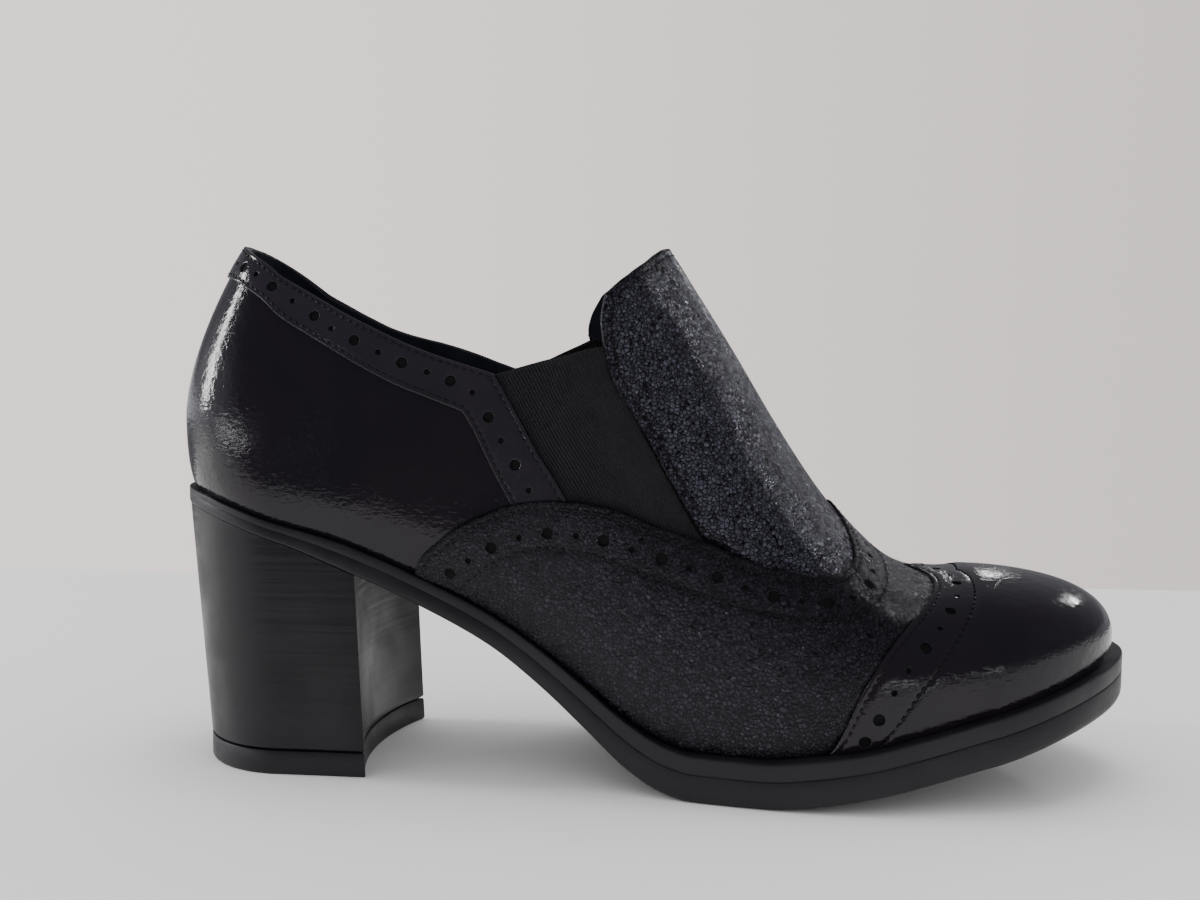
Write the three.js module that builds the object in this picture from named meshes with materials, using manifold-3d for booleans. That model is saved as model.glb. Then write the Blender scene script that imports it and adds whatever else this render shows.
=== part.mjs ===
// A women's slip-on shoe with a block heel, in millimetres, +Z up, toe towards +X.
// It is the right shoe: its outer (lateral) side is towards -Y and its inner (medial) side towards +Y.
// The floor is Z = 0.
import * as THREE from "three";
import { mergeVertices } from "three/addons/utils/BufferGeometryUtils.js";
import Module from "manifold-3d";

const wasm = await Module();
wasm.setup();

// Driving dimensions of the whole shoe
const shoeLength = 240; // heel back to toe tip
const ballWidth = 90; // sole across the ball of the foot
const heelHeight = 66; // floor to the outsole's underside at the heel back
const soleThickness = 11; // outsole under the forefoot
const toeSpring = 20.5; // floor to the outsole's underside at the toe tip
const instepHeight = 100; // unit of the heights of the upper's sections
const ledgeWidth = 5; // toe of the outsole to the feather line of the upper

// Walls and clearances
const upperWall = 1.8;
const vampThickness = 1.1;
const capThickness = 1.5;
const tongueThickness = 0.8;
const bandThickness = 0.7;
const goreThickness = 1.1;
const goreRecess = 0.5; // upper's outer face to the elastic's
const insoleThickness = 2.2;
const layerGap = 0.45; // upper's outer face to an overlay's inner face
const edgeGap = 0.5; // between the edges of neighbouring panels
const seatGap = 0.3; // between pieces that stand on each other

// Heel block and its lift
const liftThickness = 6;
const heelBaseWidth = 53.5;
const heelBaseReach = 24.4; // heel axis to the back of the block, at the floor
const heelTopInset = 0.3; // outsole's edge to the block, at its top
const breastReach = 22.5; // heel axis to the corners of the breast, at the floor
const breastHollow = 5; // depth of the concave breast
const breastSkew = 3; // the inner corner stands further forward than the outer one
const breastLean = 3.4; // the breast leans back by this much over the heel's height

// Places along the shoe, as shares of its length from the heel back
const heelAxisAt = 0.125;
const toeAxisAt = 0.842;

// Share of a section's girth that lies below its widest point
const bellyGirth = 0.2;
// Height of the lower curve's handle, as a share of the height of the widest point
const lowerHandle = 0.3;
// How much the toe narrows against a plain ellipse
const toeTaper = 0.3;

// The outsole: rise is a share of heelHeight, spring of toeSpring, thick of soleThickness
const soleProfile = [
  { at: 0.0, rise: 1.0, spring: 0, thick: 0.36 },
  { at: 0.125, rise: 0.885, spring: 0, thick: 0.4 },
  { at: 0.204, rise: 0.767, spring: 0, thick: 0.6 },
  { at: 0.279, rise: 0.636, spring: 0, thick: 0.64 },
  { at: 0.346, rise: 0.5, spring: 0, thick: 0.71 },
  { at: 0.396, rise: 0.365, spring: 0, thick: 0.82 },
  { at: 0.442, rise: 0.223, spring: 0, thick: 0.94 },
  { at: 0.4875, rise: 0.085, spring: 0, thick: 1.04 },
  { at: 0.521, rise: 0.021, spring: 0, thick: 1.05 },
  { at: 0.55, rise: 0, spring: 0, thick: 1.02 },
  { at: 0.617, rise: 0, spring: 0, thick: 1.0 },
  { at: 0.667, rise: 0, spring: 0.059, thick: 1.02 },
  { at: 0.717, rise: 0, spring: 0.161, thick: 1.0 },
  { at: 0.7625, rise: 0, spring: 0.278, thick: 1.02 },
  { at: 0.8125, rise: 0, spring: 0.424, thick: 1.03 },
  { at: 0.8625, rise: 0, spring: 0.585, thick: 1.04 },
  { at: 0.917, rise: 0, spring: 0.771, thick: 1.02 },
  { at: 0.967, rise: 0, spring: 0.922, thick: 1.0 },
  { at: 1.0, rise: 0, spring: 1.0, thick: 0.98 },
];

// The outsole's plan: half is its half width and swing the sideways place of its middle, both
// shares of ballWidth, and ledge is a share of ledgeWidth
const solePlan = [
  { at: 0.125, half: 0.3245, swing: 0.0, ledge: 0.3 },
  { at: 0.1875, half: 0.3178, swing: -0.0044, ledge: 0.29 },
  { at: 0.25, half: 0.2933, swing: -0.01, ledge: 0.27 },
  { at: 0.3125, half: 0.2767, swing: -0.0156, ledge: 0.5 },
  { at: 0.346, half: 0.2744, swing: -0.0189, ledge: 0.52 },
  { at: 0.396, half: 0.29, swing: -0.0233, ledge: 0.58 },
  { at: 0.442, half: 0.3222, swing: -0.0222, ledge: 0.68 },
  { at: 0.4875, half: 0.3667, swing: -0.0167, ledge: 0.78 },
  { at: 0.521, half: 0.4, swing: -0.0111, ledge: 0.88 },
  { at: 0.575, half: 0.4456, swing: 0.0, ledge: 0.95 },
  { at: 0.625, half: 0.48, swing: 0.0089, ledge: 0.98 },
  { at: 0.675, half: 0.5011, swing: 0.0144, ledge: 1.0 },
  { at: 0.717, half: 0.5033, swing: 0.0178, ledge: 1.0 },
  { at: 0.7625, half: 0.4889, swing: 0.0211, ledge: 1.0 },
  { at: 0.8, half: 0.4694, swing: 0.0222, ledge: 1.0 },
  { at: 0.842, half: 0.4511, swing: 0.0228, ledge: 1.0 },
];

// The upper's cross sections: outer and inner are how far each side bulges past its feather line,
// shares of ballWidth; belly and top are the heights of the widest point and of the ridge over the
// feather line, shares of instepHeight; wall and crown set how far the side stays upright and how
// far the top stays broad
const sections = [
  { at: 0.125, outer: 0.029, inner: 0.027, belly: 0.18, top: 0.812, wall: 0.4, crown: 0.45 },
  { at: 0.25, outer: 0.05, inner: 0.056, belly: 0.2, top: 0.92, wall: 0.55, crown: 0.7 },
  { at: 0.346, outer: 0.067, inner: 0.078, belly: 0.24, top: 1.05, wall: 0.5, crown: 0.75 },
  { at: 0.417, outer: 0.067, inner: 0.072, belly: 0.26, top: 1.18, wall: 0.45, crown: 0.7 },
  { at: 0.467, outer: 0.053, inner: 0.056, belly: 0.26, top: 1.28, wall: 0.4, crown: 0.55 },
  { at: 0.521, outer: 0.036, inner: 0.038, belly: 0.24, top: 1.166, wall: 0.38, crown: 0.4 },
  { at: 0.575, outer: 0.024, inner: 0.024, belly: 0.2, top: 0.981, wall: 0.42, crown: 0.36 },
  { at: 0.625, outer: 0.018, inner: 0.018, belly: 0.16, top: 0.782, wall: 0.45, crown: 0.36 },
  { at: 0.675, outer: 0.013, inner: 0.013, belly: 0.13, top: 0.581, wall: 0.5, crown: 0.42 },
  { at: 0.717, outer: 0.011, inner: 0.011, belly: 0.12, top: 0.446, wall: 0.52, crown: 0.5 },
  { at: 0.7625, outer: 0.01, inner: 0.01, belly: 0.11, top: 0.331, wall: 0.55, crown: 0.58 },
  { at: 0.8, outer: 0.009, inner: 0.009, belly: 0.1, top: 0.286, wall: 0.57, crown: 0.62 },
  { at: 0.842, outer: 0.009, inner: 0.009, belly: 0.09, top: 0.262, wall: 0.58, crown: 0.66 },
];

// The two profiles in the shoe's middle plane, behind the heel axis and before the toe axis, with
// reach a share of shoeLength and ledge of ledgeWidth, and the rest as in the sections
const heelProfile = {
  reach: 0.123,
  ledge: 0.34,
  bulge: 0.024,
  belly: 0.174,
  wall: 0.33,
  crown: 0.33,
};
const toeProfile = {
  reach: 0.158,
  ledge: 1.06,
  bulge: 0.008,
  belly: 0.05,
  wall: 0.58,
  crown: 0.7,
};

// Places on the upper are given by station and girth. Station runs 0 at the heel back, 1 at the heel
// axis, 2 at the toe axis and 3 at the toe tip, and girth from 0 at the feather line to 1 at the ridge.

// The top line from the heel back to the ridge, with the notch that holds the elastic
const topLine = [
  { station: 0, girth: 0.7 },
  { station: 0.3, girth: 0.693 },
  { station: 0.45, girth: 0.684 },
  { station: 0.6, girth: 0.672 },
  { station: 0.75, girth: 0.658 },
  { station: 0.873, girth: 0.643 },
  { station: 1.0, girth: 0.606 },
  { station: 1.053, girth: 0.565 },
  { station: 1.126, girth: 0.487 },
  { station: 1.183, girth: 0.457 },
  { station: 1.239, girth: 0.445 },
  { station: 1.314, girth: 0.435 },
  { station: 1.39, girth: 0.491 },
  { station: 1.457, girth: 0.545 },
  { station: 1.466, girth: 0.632 },
  { station: 1.481, girth: 0.665 },
  { station: 1.501, girth: 0.717 },
  { station: 1.524, girth: 0.8 },
  { station: 1.54, girth: 0.89 },
  { station: 1.552, girth: 1.0 },
];

// The elastic's window, from the top line down to under the wing
const goreWindow = [
  { back: 1.314, backGirth: 0.435, front: 1.466, frontGirth: 0.55 },
  { back: 1.344, backGirth: 0.389, front: 1.482, frontGirth: 0.51 },
  { back: 1.376, backGirth: 0.341, front: 1.518, frontGirth: 0.487 },
  { back: 1.402, backGirth: 0.315, front: 1.563, frontGirth: 0.452 },
  { back: 1.43, backGirth: 0.285, front: 1.612, frontGirth: 0.398 },
];

// The band under the top line, which turns down along the elastic to the wing
const bandPath = [
  { station: 0, girth: 0.7, low: 0, lowGirth: 0.612 },
  { station: 0.2, girth: 0.695, low: 0.18, lowGirth: 0.608 },
  { station: 0.4, girth: 0.687, low: 0.36, lowGirth: 0.602 },
  { station: 0.6, girth: 0.672, low: 0.56, lowGirth: 0.588 },
  { station: 0.8, girth: 0.652, low: 0.76, lowGirth: 0.565 },
  { station: 0.97, girth: 0.617, low: 0.943, lowGirth: 0.53 },
  { station: 1.053, girth: 0.565, low: 1.03, lowGirth: 0.487 },
  { station: 1.09, girth: 0.523, low: 1.076, lowGirth: 0.439 },
  { station: 1.126, girth: 0.487, low: 1.12, lowGirth: 0.4 },
  { station: 1.183, girth: 0.457, low: 1.171, lowGirth: 0.374 },
  { station: 1.239, girth: 0.445, low: 1.225, lowGirth: 0.363 },
  { station: 1.314, girth: 0.435, low: 1.268, lowGirth: 0.352 },
  { station: 1.344, girth: 0.389, low: 1.29, lowGirth: 0.318 },
  { station: 1.376, girth: 0.341, low: 1.313, lowGirth: 0.276 },
  { station: 1.396, girth: 0.318, low: 1.327, lowGirth: 0.247 },
];

// The back edge of the tongue, from the top line down to the wing
const tongueEdge = [
  { station: 1.466, girth: 0.632 },
  { station: 1.461, girth: 0.59 },
  { station: 1.466, girth: 0.551 },
  { station: 1.476, girth: 0.513 },
  { station: 1.486, girth: 0.503 },
  { station: 1.504, girth: 0.493 },
  { station: 1.529, girth: 0.483 },
  { station: 1.551, girth: 0.465 },
  { station: 1.576, girth: 0.443 },
  { station: 1.604, girth: 0.415 },
];

// The back edge of the toe cap, with its peak on the ridge
const capEdge = [
  { girth: 0, station: 1.774 },
  { girth: 0.12, station: 1.795 },
  { girth: 0.208, station: 1.812 },
  { girth: 0.295, station: 1.832 },
  { girth: 0.379, station: 1.852 },
  { girth: 0.475, station: 1.875 },
  { girth: 0.56, station: 1.895 },
  { girth: 0.64, station: 1.912 },
  { girth: 0.73, station: 1.926 },
  { girth: 0.8, station: 1.933 },
  { girth: 0.868, station: 1.935 },
  { girth: 0.95, station: 1.926 },
  { girth: 1.0, station: 1.902 },
];

// The wing of the vamp: its scalloped top edge, and the place on the feather line or on the cap's
// edge that each of its points is joined to
const wingLine = [
  { station: 1.206, girth: 0.045, low: 1.204, lowGirth: 0 },
  { station: 1.217, girth: 0.085, low: 1.225, lowGirth: 0 },
  { station: 1.239, girth: 0.13, low: 1.26, lowGirth: 0 },
  { station: 1.266, girth: 0.17, low: 1.3, lowGirth: 0 },
  { station: 1.299, girth: 0.202, low: 1.34, lowGirth: 0 },
  { station: 1.331, girth: 0.232, low: 1.38, lowGirth: 0 },
  { station: 1.369, girth: 0.262, low: 1.42, lowGirth: 0 },
  { station: 1.406, girth: 0.289, low: 1.46, lowGirth: 0 },
  { station: 1.444, girth: 0.314, low: 1.5, lowGirth: 0 },
  { station: 1.489, girth: 0.342, low: 1.54, lowGirth: 0 },
  { station: 1.536, girth: 0.372, low: 1.58, lowGirth: 0 },
  { station: 1.575, girth: 0.394, low: 1.62, lowGirth: 0 },
  { station: 1.611, girth: 0.408, low: 1.66, lowGirth: 0 },
  { station: 1.654, girth: 0.424, low: 1.7, lowGirth: 0 },
  { station: 1.694, girth: 0.45, low: 1.74, lowGirth: 0 },
  { station: 1.736, girth: 0.487, low: 1.774, lowGirth: 0 },
  { station: 1.755, girth: 0.51, low: 1.795, lowGirth: 0.12 },
  { station: 1.773, girth: 0.54, low: 1.812, lowGirth: 0.208 },
  { station: 1.788, girth: 0.575, low: 1.832, lowGirth: 0.295 },
  { station: 1.799, girth: 0.613, low: 1.852, lowGirth: 0.379 },
  { station: 1.807, girth: 0.65, low: 1.875, lowGirth: 0.475 },
  { station: 1.811, girth: 0.685, low: 1.895, lowGirth: 0.56 },
  { station: 1.813, girth: 0.72, low: 1.912, lowGirth: 0.64 },
  { station: 1.813, girth: 0.765, low: 1.926, lowGirth: 0.73 },
  { station: 1.811, girth: 0.825, low: 1.933, lowGirth: 0.8 },
  { station: 1.807, girth: 0.888, low: 1.935, lowGirth: 0.868 },
  { station: 1.799, girth: 0.95, low: 1.926, lowGirth: 0.95 },
  { station: 1.786, girth: 1.0, low: 1.902, lowGirth: 1.0 },
];

// The outsole's side, from its top edge down: inset is in millimetres under the forefoot, and height
// a share of the thickness
const soleSide = [
  { inset: 0.5, height: 1 },
  { inset: 0, height: 0.94 },
  { inset: 0, height: 0.63 },
  { inset: 0.45, height: 0.6 },
  { inset: 0.45, height: 0.55 },
  { inset: 0, height: 0.52 },
  { inset: 0, height: 0.12 },
  { inset: 1.1, height: 0 },
];

// Shares of the girth below the top line at which the upper has a row of faces: those of the cap's
// edge, so that the cap lies level on the upper
const girthRows = capEdge.map((row) => row.girth);
// Steps of the fans round the heel and round the toe, and of the stretch before the ridge's end
const fanSteps = 8;
const ridgeSteps = 11;
const panelSteps = 9;

const heelAxis = (heelAxisAt - 0.5) * shoeLength;
const toeAxis = (toeAxisAt - 0.5) * shoeLength;
const lateral = -1;
const medial = 1;

// A smooth curve through a table's column that never overshoots its rows and is level at both ends
function curveOf(rows, key, column) {
  const slopes = rows.map((row, i) => {
    if (i === 0 || i === rows.length - 1) return 0;
    const before = row[key] - rows[i - 1][key];
    const after = rows[i + 1][key] - row[key];
    const slopeBefore = (row[column] - rows[i - 1][column]) / before;
    const slopeAfter = (rows[i + 1][column] - row[column]) / after;
    if (slopeBefore * slopeAfter <= 0) return 0;
    const weightBefore = 2 * after + before;
    const weightAfter = after + 2 * before;
    return (weightBefore + weightAfter) / (weightBefore / slopeBefore + weightAfter / slopeAfter);
  });
  return (place) => {
    const last = rows.length - 1;
    const p = THREE.MathUtils.clamp(place, rows[0][key], rows[last][key]);
    let i = 0;
    while (i < last - 1 && p > rows[i + 1][key]) i += 1;
    const span = rows[i + 1][key] - rows[i][key];
    const t = (p - rows[i][key]) / span;
    const t2 = t * t;
    const t3 = t2 * t;
    return (
      (2 * t3 - 3 * t2 + 1) * rows[i][column] +
      (t3 - 2 * t2 + t) * span * slopes[i] +
      (3 * t2 - 2 * t3) * rows[i + 1][column] +
      (t3 - t2) * span * slopes[i + 1]
    );
  };
}

const riseAt = curveOf(soleProfile, "at", "rise");
const springAt = curveOf(soleProfile, "at", "spring");
const thickAt = curveOf(soleProfile, "at", "thick");
const halfAt = curveOf(solePlan, "at", "half");
const swingAt = curveOf(solePlan, "at", "swing");
const ledgeAt = curveOf(solePlan, "at", "ledge");
const outerAt = curveOf(sections, "at", "outer");
const innerAt = curveOf(sections, "at", "inner");
const bellyAt = curveOf(sections, "at", "belly");
const topAt = curveOf(sections, "at", "top");
const wallAt = curveOf(sections, "at", "wall");
const crownAt = curveOf(sections, "at", "crown");
const topGirth = curveOf(topLine, "station", "girth");
const capStation = curveOf(capEdge, "girth", "station");

const shareOf = (x) => x / shoeLength + 0.5;
const underside = (x) => heelHeight * riseAt(shareOf(x)) + toeSpring * springAt(shareOf(x));
const thickness = (x) => soleThickness * thickAt(shareOf(x));
const seat = (x) => underside(x) + thickness(x);

// One half of a section: from the foot out to the widest point, then up and in to the ridge
function halfSection(shape, girth) {
  const { foot, widest, belly, top, wall, crown } = shape;
  if (girth < bellyGirth) {
    const t = girth / bellyGirth;
    const half = (1 - t) ** 2 * foot + 2 * (1 - t) * t * widest + t * t * widest;
    const height = 2 * (1 - t) * t * lowerHandle * belly + t * t * belly;
    return { half, height };
  }
  const t = (girth - bellyGirth) / (1 - bellyGirth);
  const s = 1 - t;
  const half = s ** 3 * widest + 3 * s * s * t * widest + 3 * s * t * t * crown * widest;
  const handle = belly + wall * (top - belly);
  const height = s ** 3 * belly + 3 * s * s * t * handle + 3 * s * t * t * top + t ** 3 * top;
  return { half, height };
}

function sectionAt(at, side) {
  const foot = ballWidth * halfAt(at) - ledgeWidth * ledgeAt(at);
  const bulge = ballWidth * (side === lateral ? outerAt(at) : innerAt(at));
  return {
    foot,
    widest: foot + bulge,
    belly: instepHeight * bellyAt(at),
    top: instepHeight * topAt(at),
    wall: wallAt(at),
    crown: crownAt(at),
  };
}

// The turn round the heel or the toe that a station beyond an axis stands for
function fanOf(station) {
  const quarter = Math.PI / 2;
  const heel = { way: -1, axis: heelAxis, at: heelAxisAt, profile: heelProfile, taper: 0 };
  const toe = { way: 1, axis: toeAxis, at: toeAxisAt, profile: toeProfile, taper: toeTaper };
  return station < 1
    ? { turn: station * quarter, ...heel }
    : { turn: (3 - station) * quarter, ...toe };
}

const isFan = (station) => station < 1 || station > 2;
const atOf = (station) => heelAxisAt + (toeAxisAt - heelAxisAt) * (station - 1);

// A point of the upper's outer face
function lastPoint(station, girth, side) {
  if (!isFan(station)) {
    const at = atOf(station);
    const x = (at - 0.5) * shoeLength;
    const { half, height } = halfSection(sectionAt(at, side), girth);
    return new THREE.Vector3(x, ballWidth * swingAt(at) + side * half, seat(x) + height);
  }
  const { turn, way, axis, at, profile, taper } = fanOf(station);
  const foot = profile.reach * shoeLength - profile.ledge * ledgeWidth;
  const level = seat(axis + way * foot * Math.cos(turn));
  const across = sectionAt(at, side);
  const top = seat(axis) + across.top - level;
  const along = {
    foot,
    widest: foot + profile.bulge * ballWidth,
    belly: profile.belly * instepHeight,
    top,
    wall: profile.wall,
    crown: profile.crown,
  };
  const ends = halfSection(along, girth);
  const sides = halfSection({ ...across, top }, girth);
  const share = Math.cos(turn) ** 2;
  return new THREE.Vector3(
    axis + way * ends.half * Math.cos(turn),
    ballWidth * swingAt(at) + side * sides.half * Math.sin(turn) * (1 - taper * share),
    level + ends.height * share + sides.height * (1 - share),
  );
}

// A point at some depth under or height over the outer face; near the sole it is moved level, and
// keeps its height over the sole
function skinPoint(station, girth, side, offset) {
  const step = 0.001;
  const u = THREE.MathUtils.clamp(station, step, 3 - step);
  const g = THREE.MathUtils.clamp(girth, 2 * step, 1 - 2 * step);
  const along = lastPoint(u + step, g, side).sub(lastPoint(u - step, g, side));
  const up = lastPoint(u, g + step, side).sub(lastPoint(u, g - step, side));
  const normal = along.cross(up).multiplyScalar(-side).normalize();
  const low = THREE.MathUtils.clamp((girth / bellyGirth - 1) * 1.5, 0, 1);
  normal.z *= low;
  normal.normalize();
  const base = lastPoint(station, girth, side);
  const moved = base.clone().addScaledVector(normal, offset);
  const hold = 1 - Math.min(1, girth / bellyGirth);
  moved.z += hold * (seat(moved.x) - seat(base.x)) + seatGap * hold;
  return moved;
}

// The outsole's outline at a station, moved in by an inset
function outlinePoint(station, side, inset) {
  if (!isFan(station)) {
    const at = atOf(station);
    const half = ballWidth * halfAt(at) - inset;
    return new THREE.Vector2((at - 0.5) * shoeLength, ballWidth * swingAt(at) + side * half);
  }
  const { turn, way, axis, at, profile, taper } = fanOf(station);
  const reach = profile.reach * shoeLength - inset;
  const half = (ballWidth * halfAt(at) - inset) * (1 - taper * Math.cos(turn) ** 2);
  return new THREE.Vector2(
    axis + way * reach * Math.cos(turn),
    ballWidth * swingAt(at) + side * half * Math.sin(turn),
  );
}

const spread = (from, to, steps) =>
  Array.from({ length: steps + 1 }, (_, i) => from + ((to - from) * i) / steps);

// A closed body from triangles given as rows of three points
function bodyOf(triangles) {
  const geometry = new THREE.BufferGeometry();
  const numbers = triangles.flatMap((corners) => corners.flatMap((p) => [p.x, p.y, p.z]));
  geometry.setAttribute("position", new THREE.Float32BufferAttribute(numbers, 3));
  return mergeVertices(geometry, 1e-4);
}

// A wall between two offsets from the outer face, over one or more grids of places. Places that
// fall together are joined, and each open edge gets a rim.
function wallOver(grids, innerOffset, outerOffset) {
  const places = [];
  const known = new Map();
  const idOf = ({ station, girth, side }) => {
    const p = lastPoint(station, girth, side);
    const key = [p.x, p.y, p.z].map((v) => Math.round(v * 1000)).join();
    if (!known.has(key)) {
      known.set(key, places.length);
      places.push({
        outer: skinPoint(station, girth, side, outerOffset),
        inner: skinPoint(station, girth, side, innerOffset),
      });
    }
    return known.get(key);
  };
  const faces = [];
  for (const grid of grids) {
    const ids = grid.map((row) => row.map(idOf));
    const forward = grid[0][0].side === lateral;
    for (let i = 0; i + 1 < ids.length; i += 1) {
      for (let j = 0; j + 1 < ids[i].length; j += 1) {
        const [a, b, c, d] = [ids[i][j], ids[i + 1][j], ids[i + 1][j + 1], ids[i][j + 1]];
        for (const face of [[a, b, c], [a, c, d]]) {
          if (new Set(face).size === 3) faces.push(forward ? face : [...face].reverse());
        }
      }
    }
  }
  const open = new Map();
  for (const [a, b, c] of faces) {
    for (const [from, to] of [[a, b], [b, c], [c, a]]) {
      if (!open.delete(`${to},${from}`)) open.set(`${from},${to}`, [from, to]);
    }
  }
  const triangles = [];
  for (const [a, b, c] of faces) {
    triangles.push([places[a].outer, places[b].outer, places[c].outer]);
    triangles.push([places[a].inner, places[c].inner, places[b].inner]);
  }
  for (const [from, to] of open.values()) {
    const [p, q] = [places[from], places[to]];
    triangles.push([q.outer, p.outer, p.inner], [q.outer, p.inner, q.inner]);
  }
  return bodyOf(triangles);
}

// A body from closed rings of points, each over the one before, with flat strips across its ends.
// Every ring starts at the heel back, runs forward along the outer side and back along the inner one.
function stack(rings, openFront) {
  const triangles = [];
  const count = rings[0].length;
  for (let k = 0; k + 1 < rings.length; k += 1) {
    for (let i = 0; i < count; i += 1) {
      const next = (i + 1) % count;
      const [a, b, c, d] = [rings[k][i], rings[k][next], rings[k + 1][next], rings[k + 1][i]];
      triangles.push([a, b, c], [a, c, d]);
    }
  }
  const close = (ring, flip) => {
    const half = openFront ? (count - 1) / 2 : count / 2;
    for (let i = 0; i < half; i += 1) {
      const partner = (count - i) % count;
      const nextPartner = count - i - 1;
      const strips = [
        [ring[i], ring[partner], ring[nextPartner]],
        [ring[i], ring[nextPartner], ring[i + 1]],
      ];
      for (const strip of strips) {
        if (new Set(strip).size === 3) triangles.push(flip ? [...strip].reverse() : strip);
      }
    }
  };
  close(rings[0], false);
  close(rings[rings.length - 1], true);
  return bodyOf(triangles);
}

function solidOf(geometry) {
  const plain = mergeVertices(geometry, 1e-4);
  return new wasm.Manifold(
    new wasm.Mesh({
      numProp: 3,
      vertProperties: new Float32Array(plain.attributes.position.array),
      triVerts: new Uint32Array(plain.index.array),
    }),
  );
}

function geometryOf(solid) {
  const { vertProperties, triVerts } = solid.getMesh();
  const geometry = new THREE.BufferGeometry();
  geometry.setAttribute("position", new THREE.BufferAttribute(vertProperties, 3));
  geometry.setIndex(new THREE.BufferAttribute(triVerts, 1));
  return geometry;
}

const heelStations = spread(0, 1, fanSteps);
const toeStations = spread(2, 3, fanSteps);
const soleStations = [...heelStations, ...spread(1, 2, 24).slice(1), ...toeStations.slice(1)];

// The outsole: one rubber unit with a grooved side, toe spring and a thin seat over the heel
function outsoleGeometry() {
  const ringOf = ({ inset, height }) => {
    const point = (station, side) => {
      const edge = outlinePoint(station, side, 0);
      const scale = thickness(edge.x) / soleThickness;
      const { x, y } = outlinePoint(station, side, inset * Math.min(1, scale));
      return new THREE.Vector3(x, y, underside(x) + thickness(x) * height);
    };
    const outer = soleStations.map((station) => point(station, lateral));
    const inner = soleStations.slice(1, -1).map((station) => point(station, medial));
    return [...outer, ...inner.reverse()];
  };
  return stack([...soleSide].reverse().map(ringOf));
}

// The heel block: a loft from the lift up to the sole, with a hollow breast cut by a leaning drum
const blockFront = 1 + (breastReach + 2 * breastSkew) / (toeAxis - heelAxis);
const blockStations = [...heelStations, ...spread(1, blockFront, 4).slice(1)];

function blockRing(share, levelAt) {
  const topHalf = (station) => ballWidth * halfAt(atOf(Math.max(1, station))) - heelTopInset;
  const topReach = heelProfile.reach * shoeLength - heelTopInset;
  const point = (station, side) => {
    const half = THREE.MathUtils.lerp(heelBaseWidth / 2, topHalf(station), share);
    const reach = THREE.MathUtils.lerp(heelBaseReach, topReach, share);
    const at = atOf(Math.max(1, station));
    const middle = ballWidth * swingAt(at);
    const turn = (Math.min(1, station) * Math.PI) / 2;
    const x = (at - 0.5) * shoeLength - reach * Math.cos(turn);
    return new THREE.Vector3(x, middle + side * half * Math.sin(turn), levelAt(x));
  };
  const outer = blockStations.map((station) => point(station, lateral));
  const inner = blockStations.slice(1).map((station) => point(station, medial));
  return [...outer, ...inner.reverse()];
}

function breastDrum() {
  const halfWidth = heelBaseWidth / 2;
  const radius = (halfWidth ** 2 + breastHollow ** 2) / (2 * breastHollow);
  const drum = new THREE.CylinderGeometry(radius, radius, 3 * heelHeight, 96);
  drum.rotateX(Math.PI / 2);
  drum.translate(breastReach + breastSkew / 2 - breastHollow + radius, 0, 0);
  drum.rotateZ(-Math.atan(breastSkew / heelBaseWidth));
  drum.rotateY(-Math.atan(breastLean / heelHeight));
  drum.translate(heelAxis, 0, 0);
  drum.deleteAttribute("normal");
  drum.deleteAttribute("uv");
  return solidOf(drum);
}

function cutBreast(geometry) {
  return geometryOf(solidOf(geometry).subtract(breastDrum()));
}

function heelGeometry() {
  const floor = liftThickness + seatGap;
  const ceiling = (x) => underside(x) - seatGap;
  const rings = [0, 0.5, 1].map((share) =>
    blockRing(share, (x) => THREE.MathUtils.lerp(floor, ceiling(x), share)),
  );
  return cutBreast(stack(rings, true));
}

function liftGeometry() {
  return cutBreast(stack([blockRing(0, () => 0), blockRing(0, () => liftThickness)], true));
}

// The insole, inside the upper's wall
function insoleGeometry() {
  const ringOf = (level) => {
    const point = (station, side) => {
      const share = isFan(station) ? ledgeAt(fanOf(station).at) : ledgeAt(atOf(station));
      const inset = ledgeWidth * share + upperWall + edgeGap;
      const { x, y } = outlinePoint(station, side, inset);
      return new THREE.Vector3(x, y, seat(x) + level);
    };
    const outer = soleStations.map((station) => point(station, lateral));
    const inner = soleStations.slice(1, -1).map((station) => point(station, medial));
    return [...outer, ...inner.reverse()];
  };
  return stack([ringOf(seatGap), ringOf(seatGap + insoleThickness)]);
}

// The gap between panels, in stations
const edgeStep = edgeGap / (toeAxis - heelAxis);
const bothSides = (gridOf) => [gridOf(lateral), gridOf(medial)];

// The elastic's window, from its back edge to its front edge and from its bottom to its top. The
// spares widen it past its edges, as shares of its width and of one row of the table.
function windowGrid(side, { across, above, below }) {
  const last = goreWindow.length - 1;
  const rowAt = (place) => {
    const i = THREE.MathUtils.clamp(Math.floor(place), 0, last - 1);
    const between = (column) =>
      THREE.MathUtils.lerp(goreWindow[i][column], goreWindow[i + 1][column], place - i);
    const back = { station: between("back"), girth: between("backGirth") };
    const front = { station: between("front"), girth: between("frontGirth") };
    return { back, front };
  };
  const levels = [last + below, 3, 2, 1, -above];
  return spread(-across, 1 + across, 6).map((t) =>
    levels.map((level) => {
      const { back, front } = rowAt(level);
      const station = THREE.MathUtils.lerp(back.station, front.station, t);
      const girth = THREE.MathUtils.lerp(back.girth, front.girth, t);
      return { station, girth, side };
    }),
  );
}

const windowSpare = { across: 0.03, above: 0.35, below: 0.16 };

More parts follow.
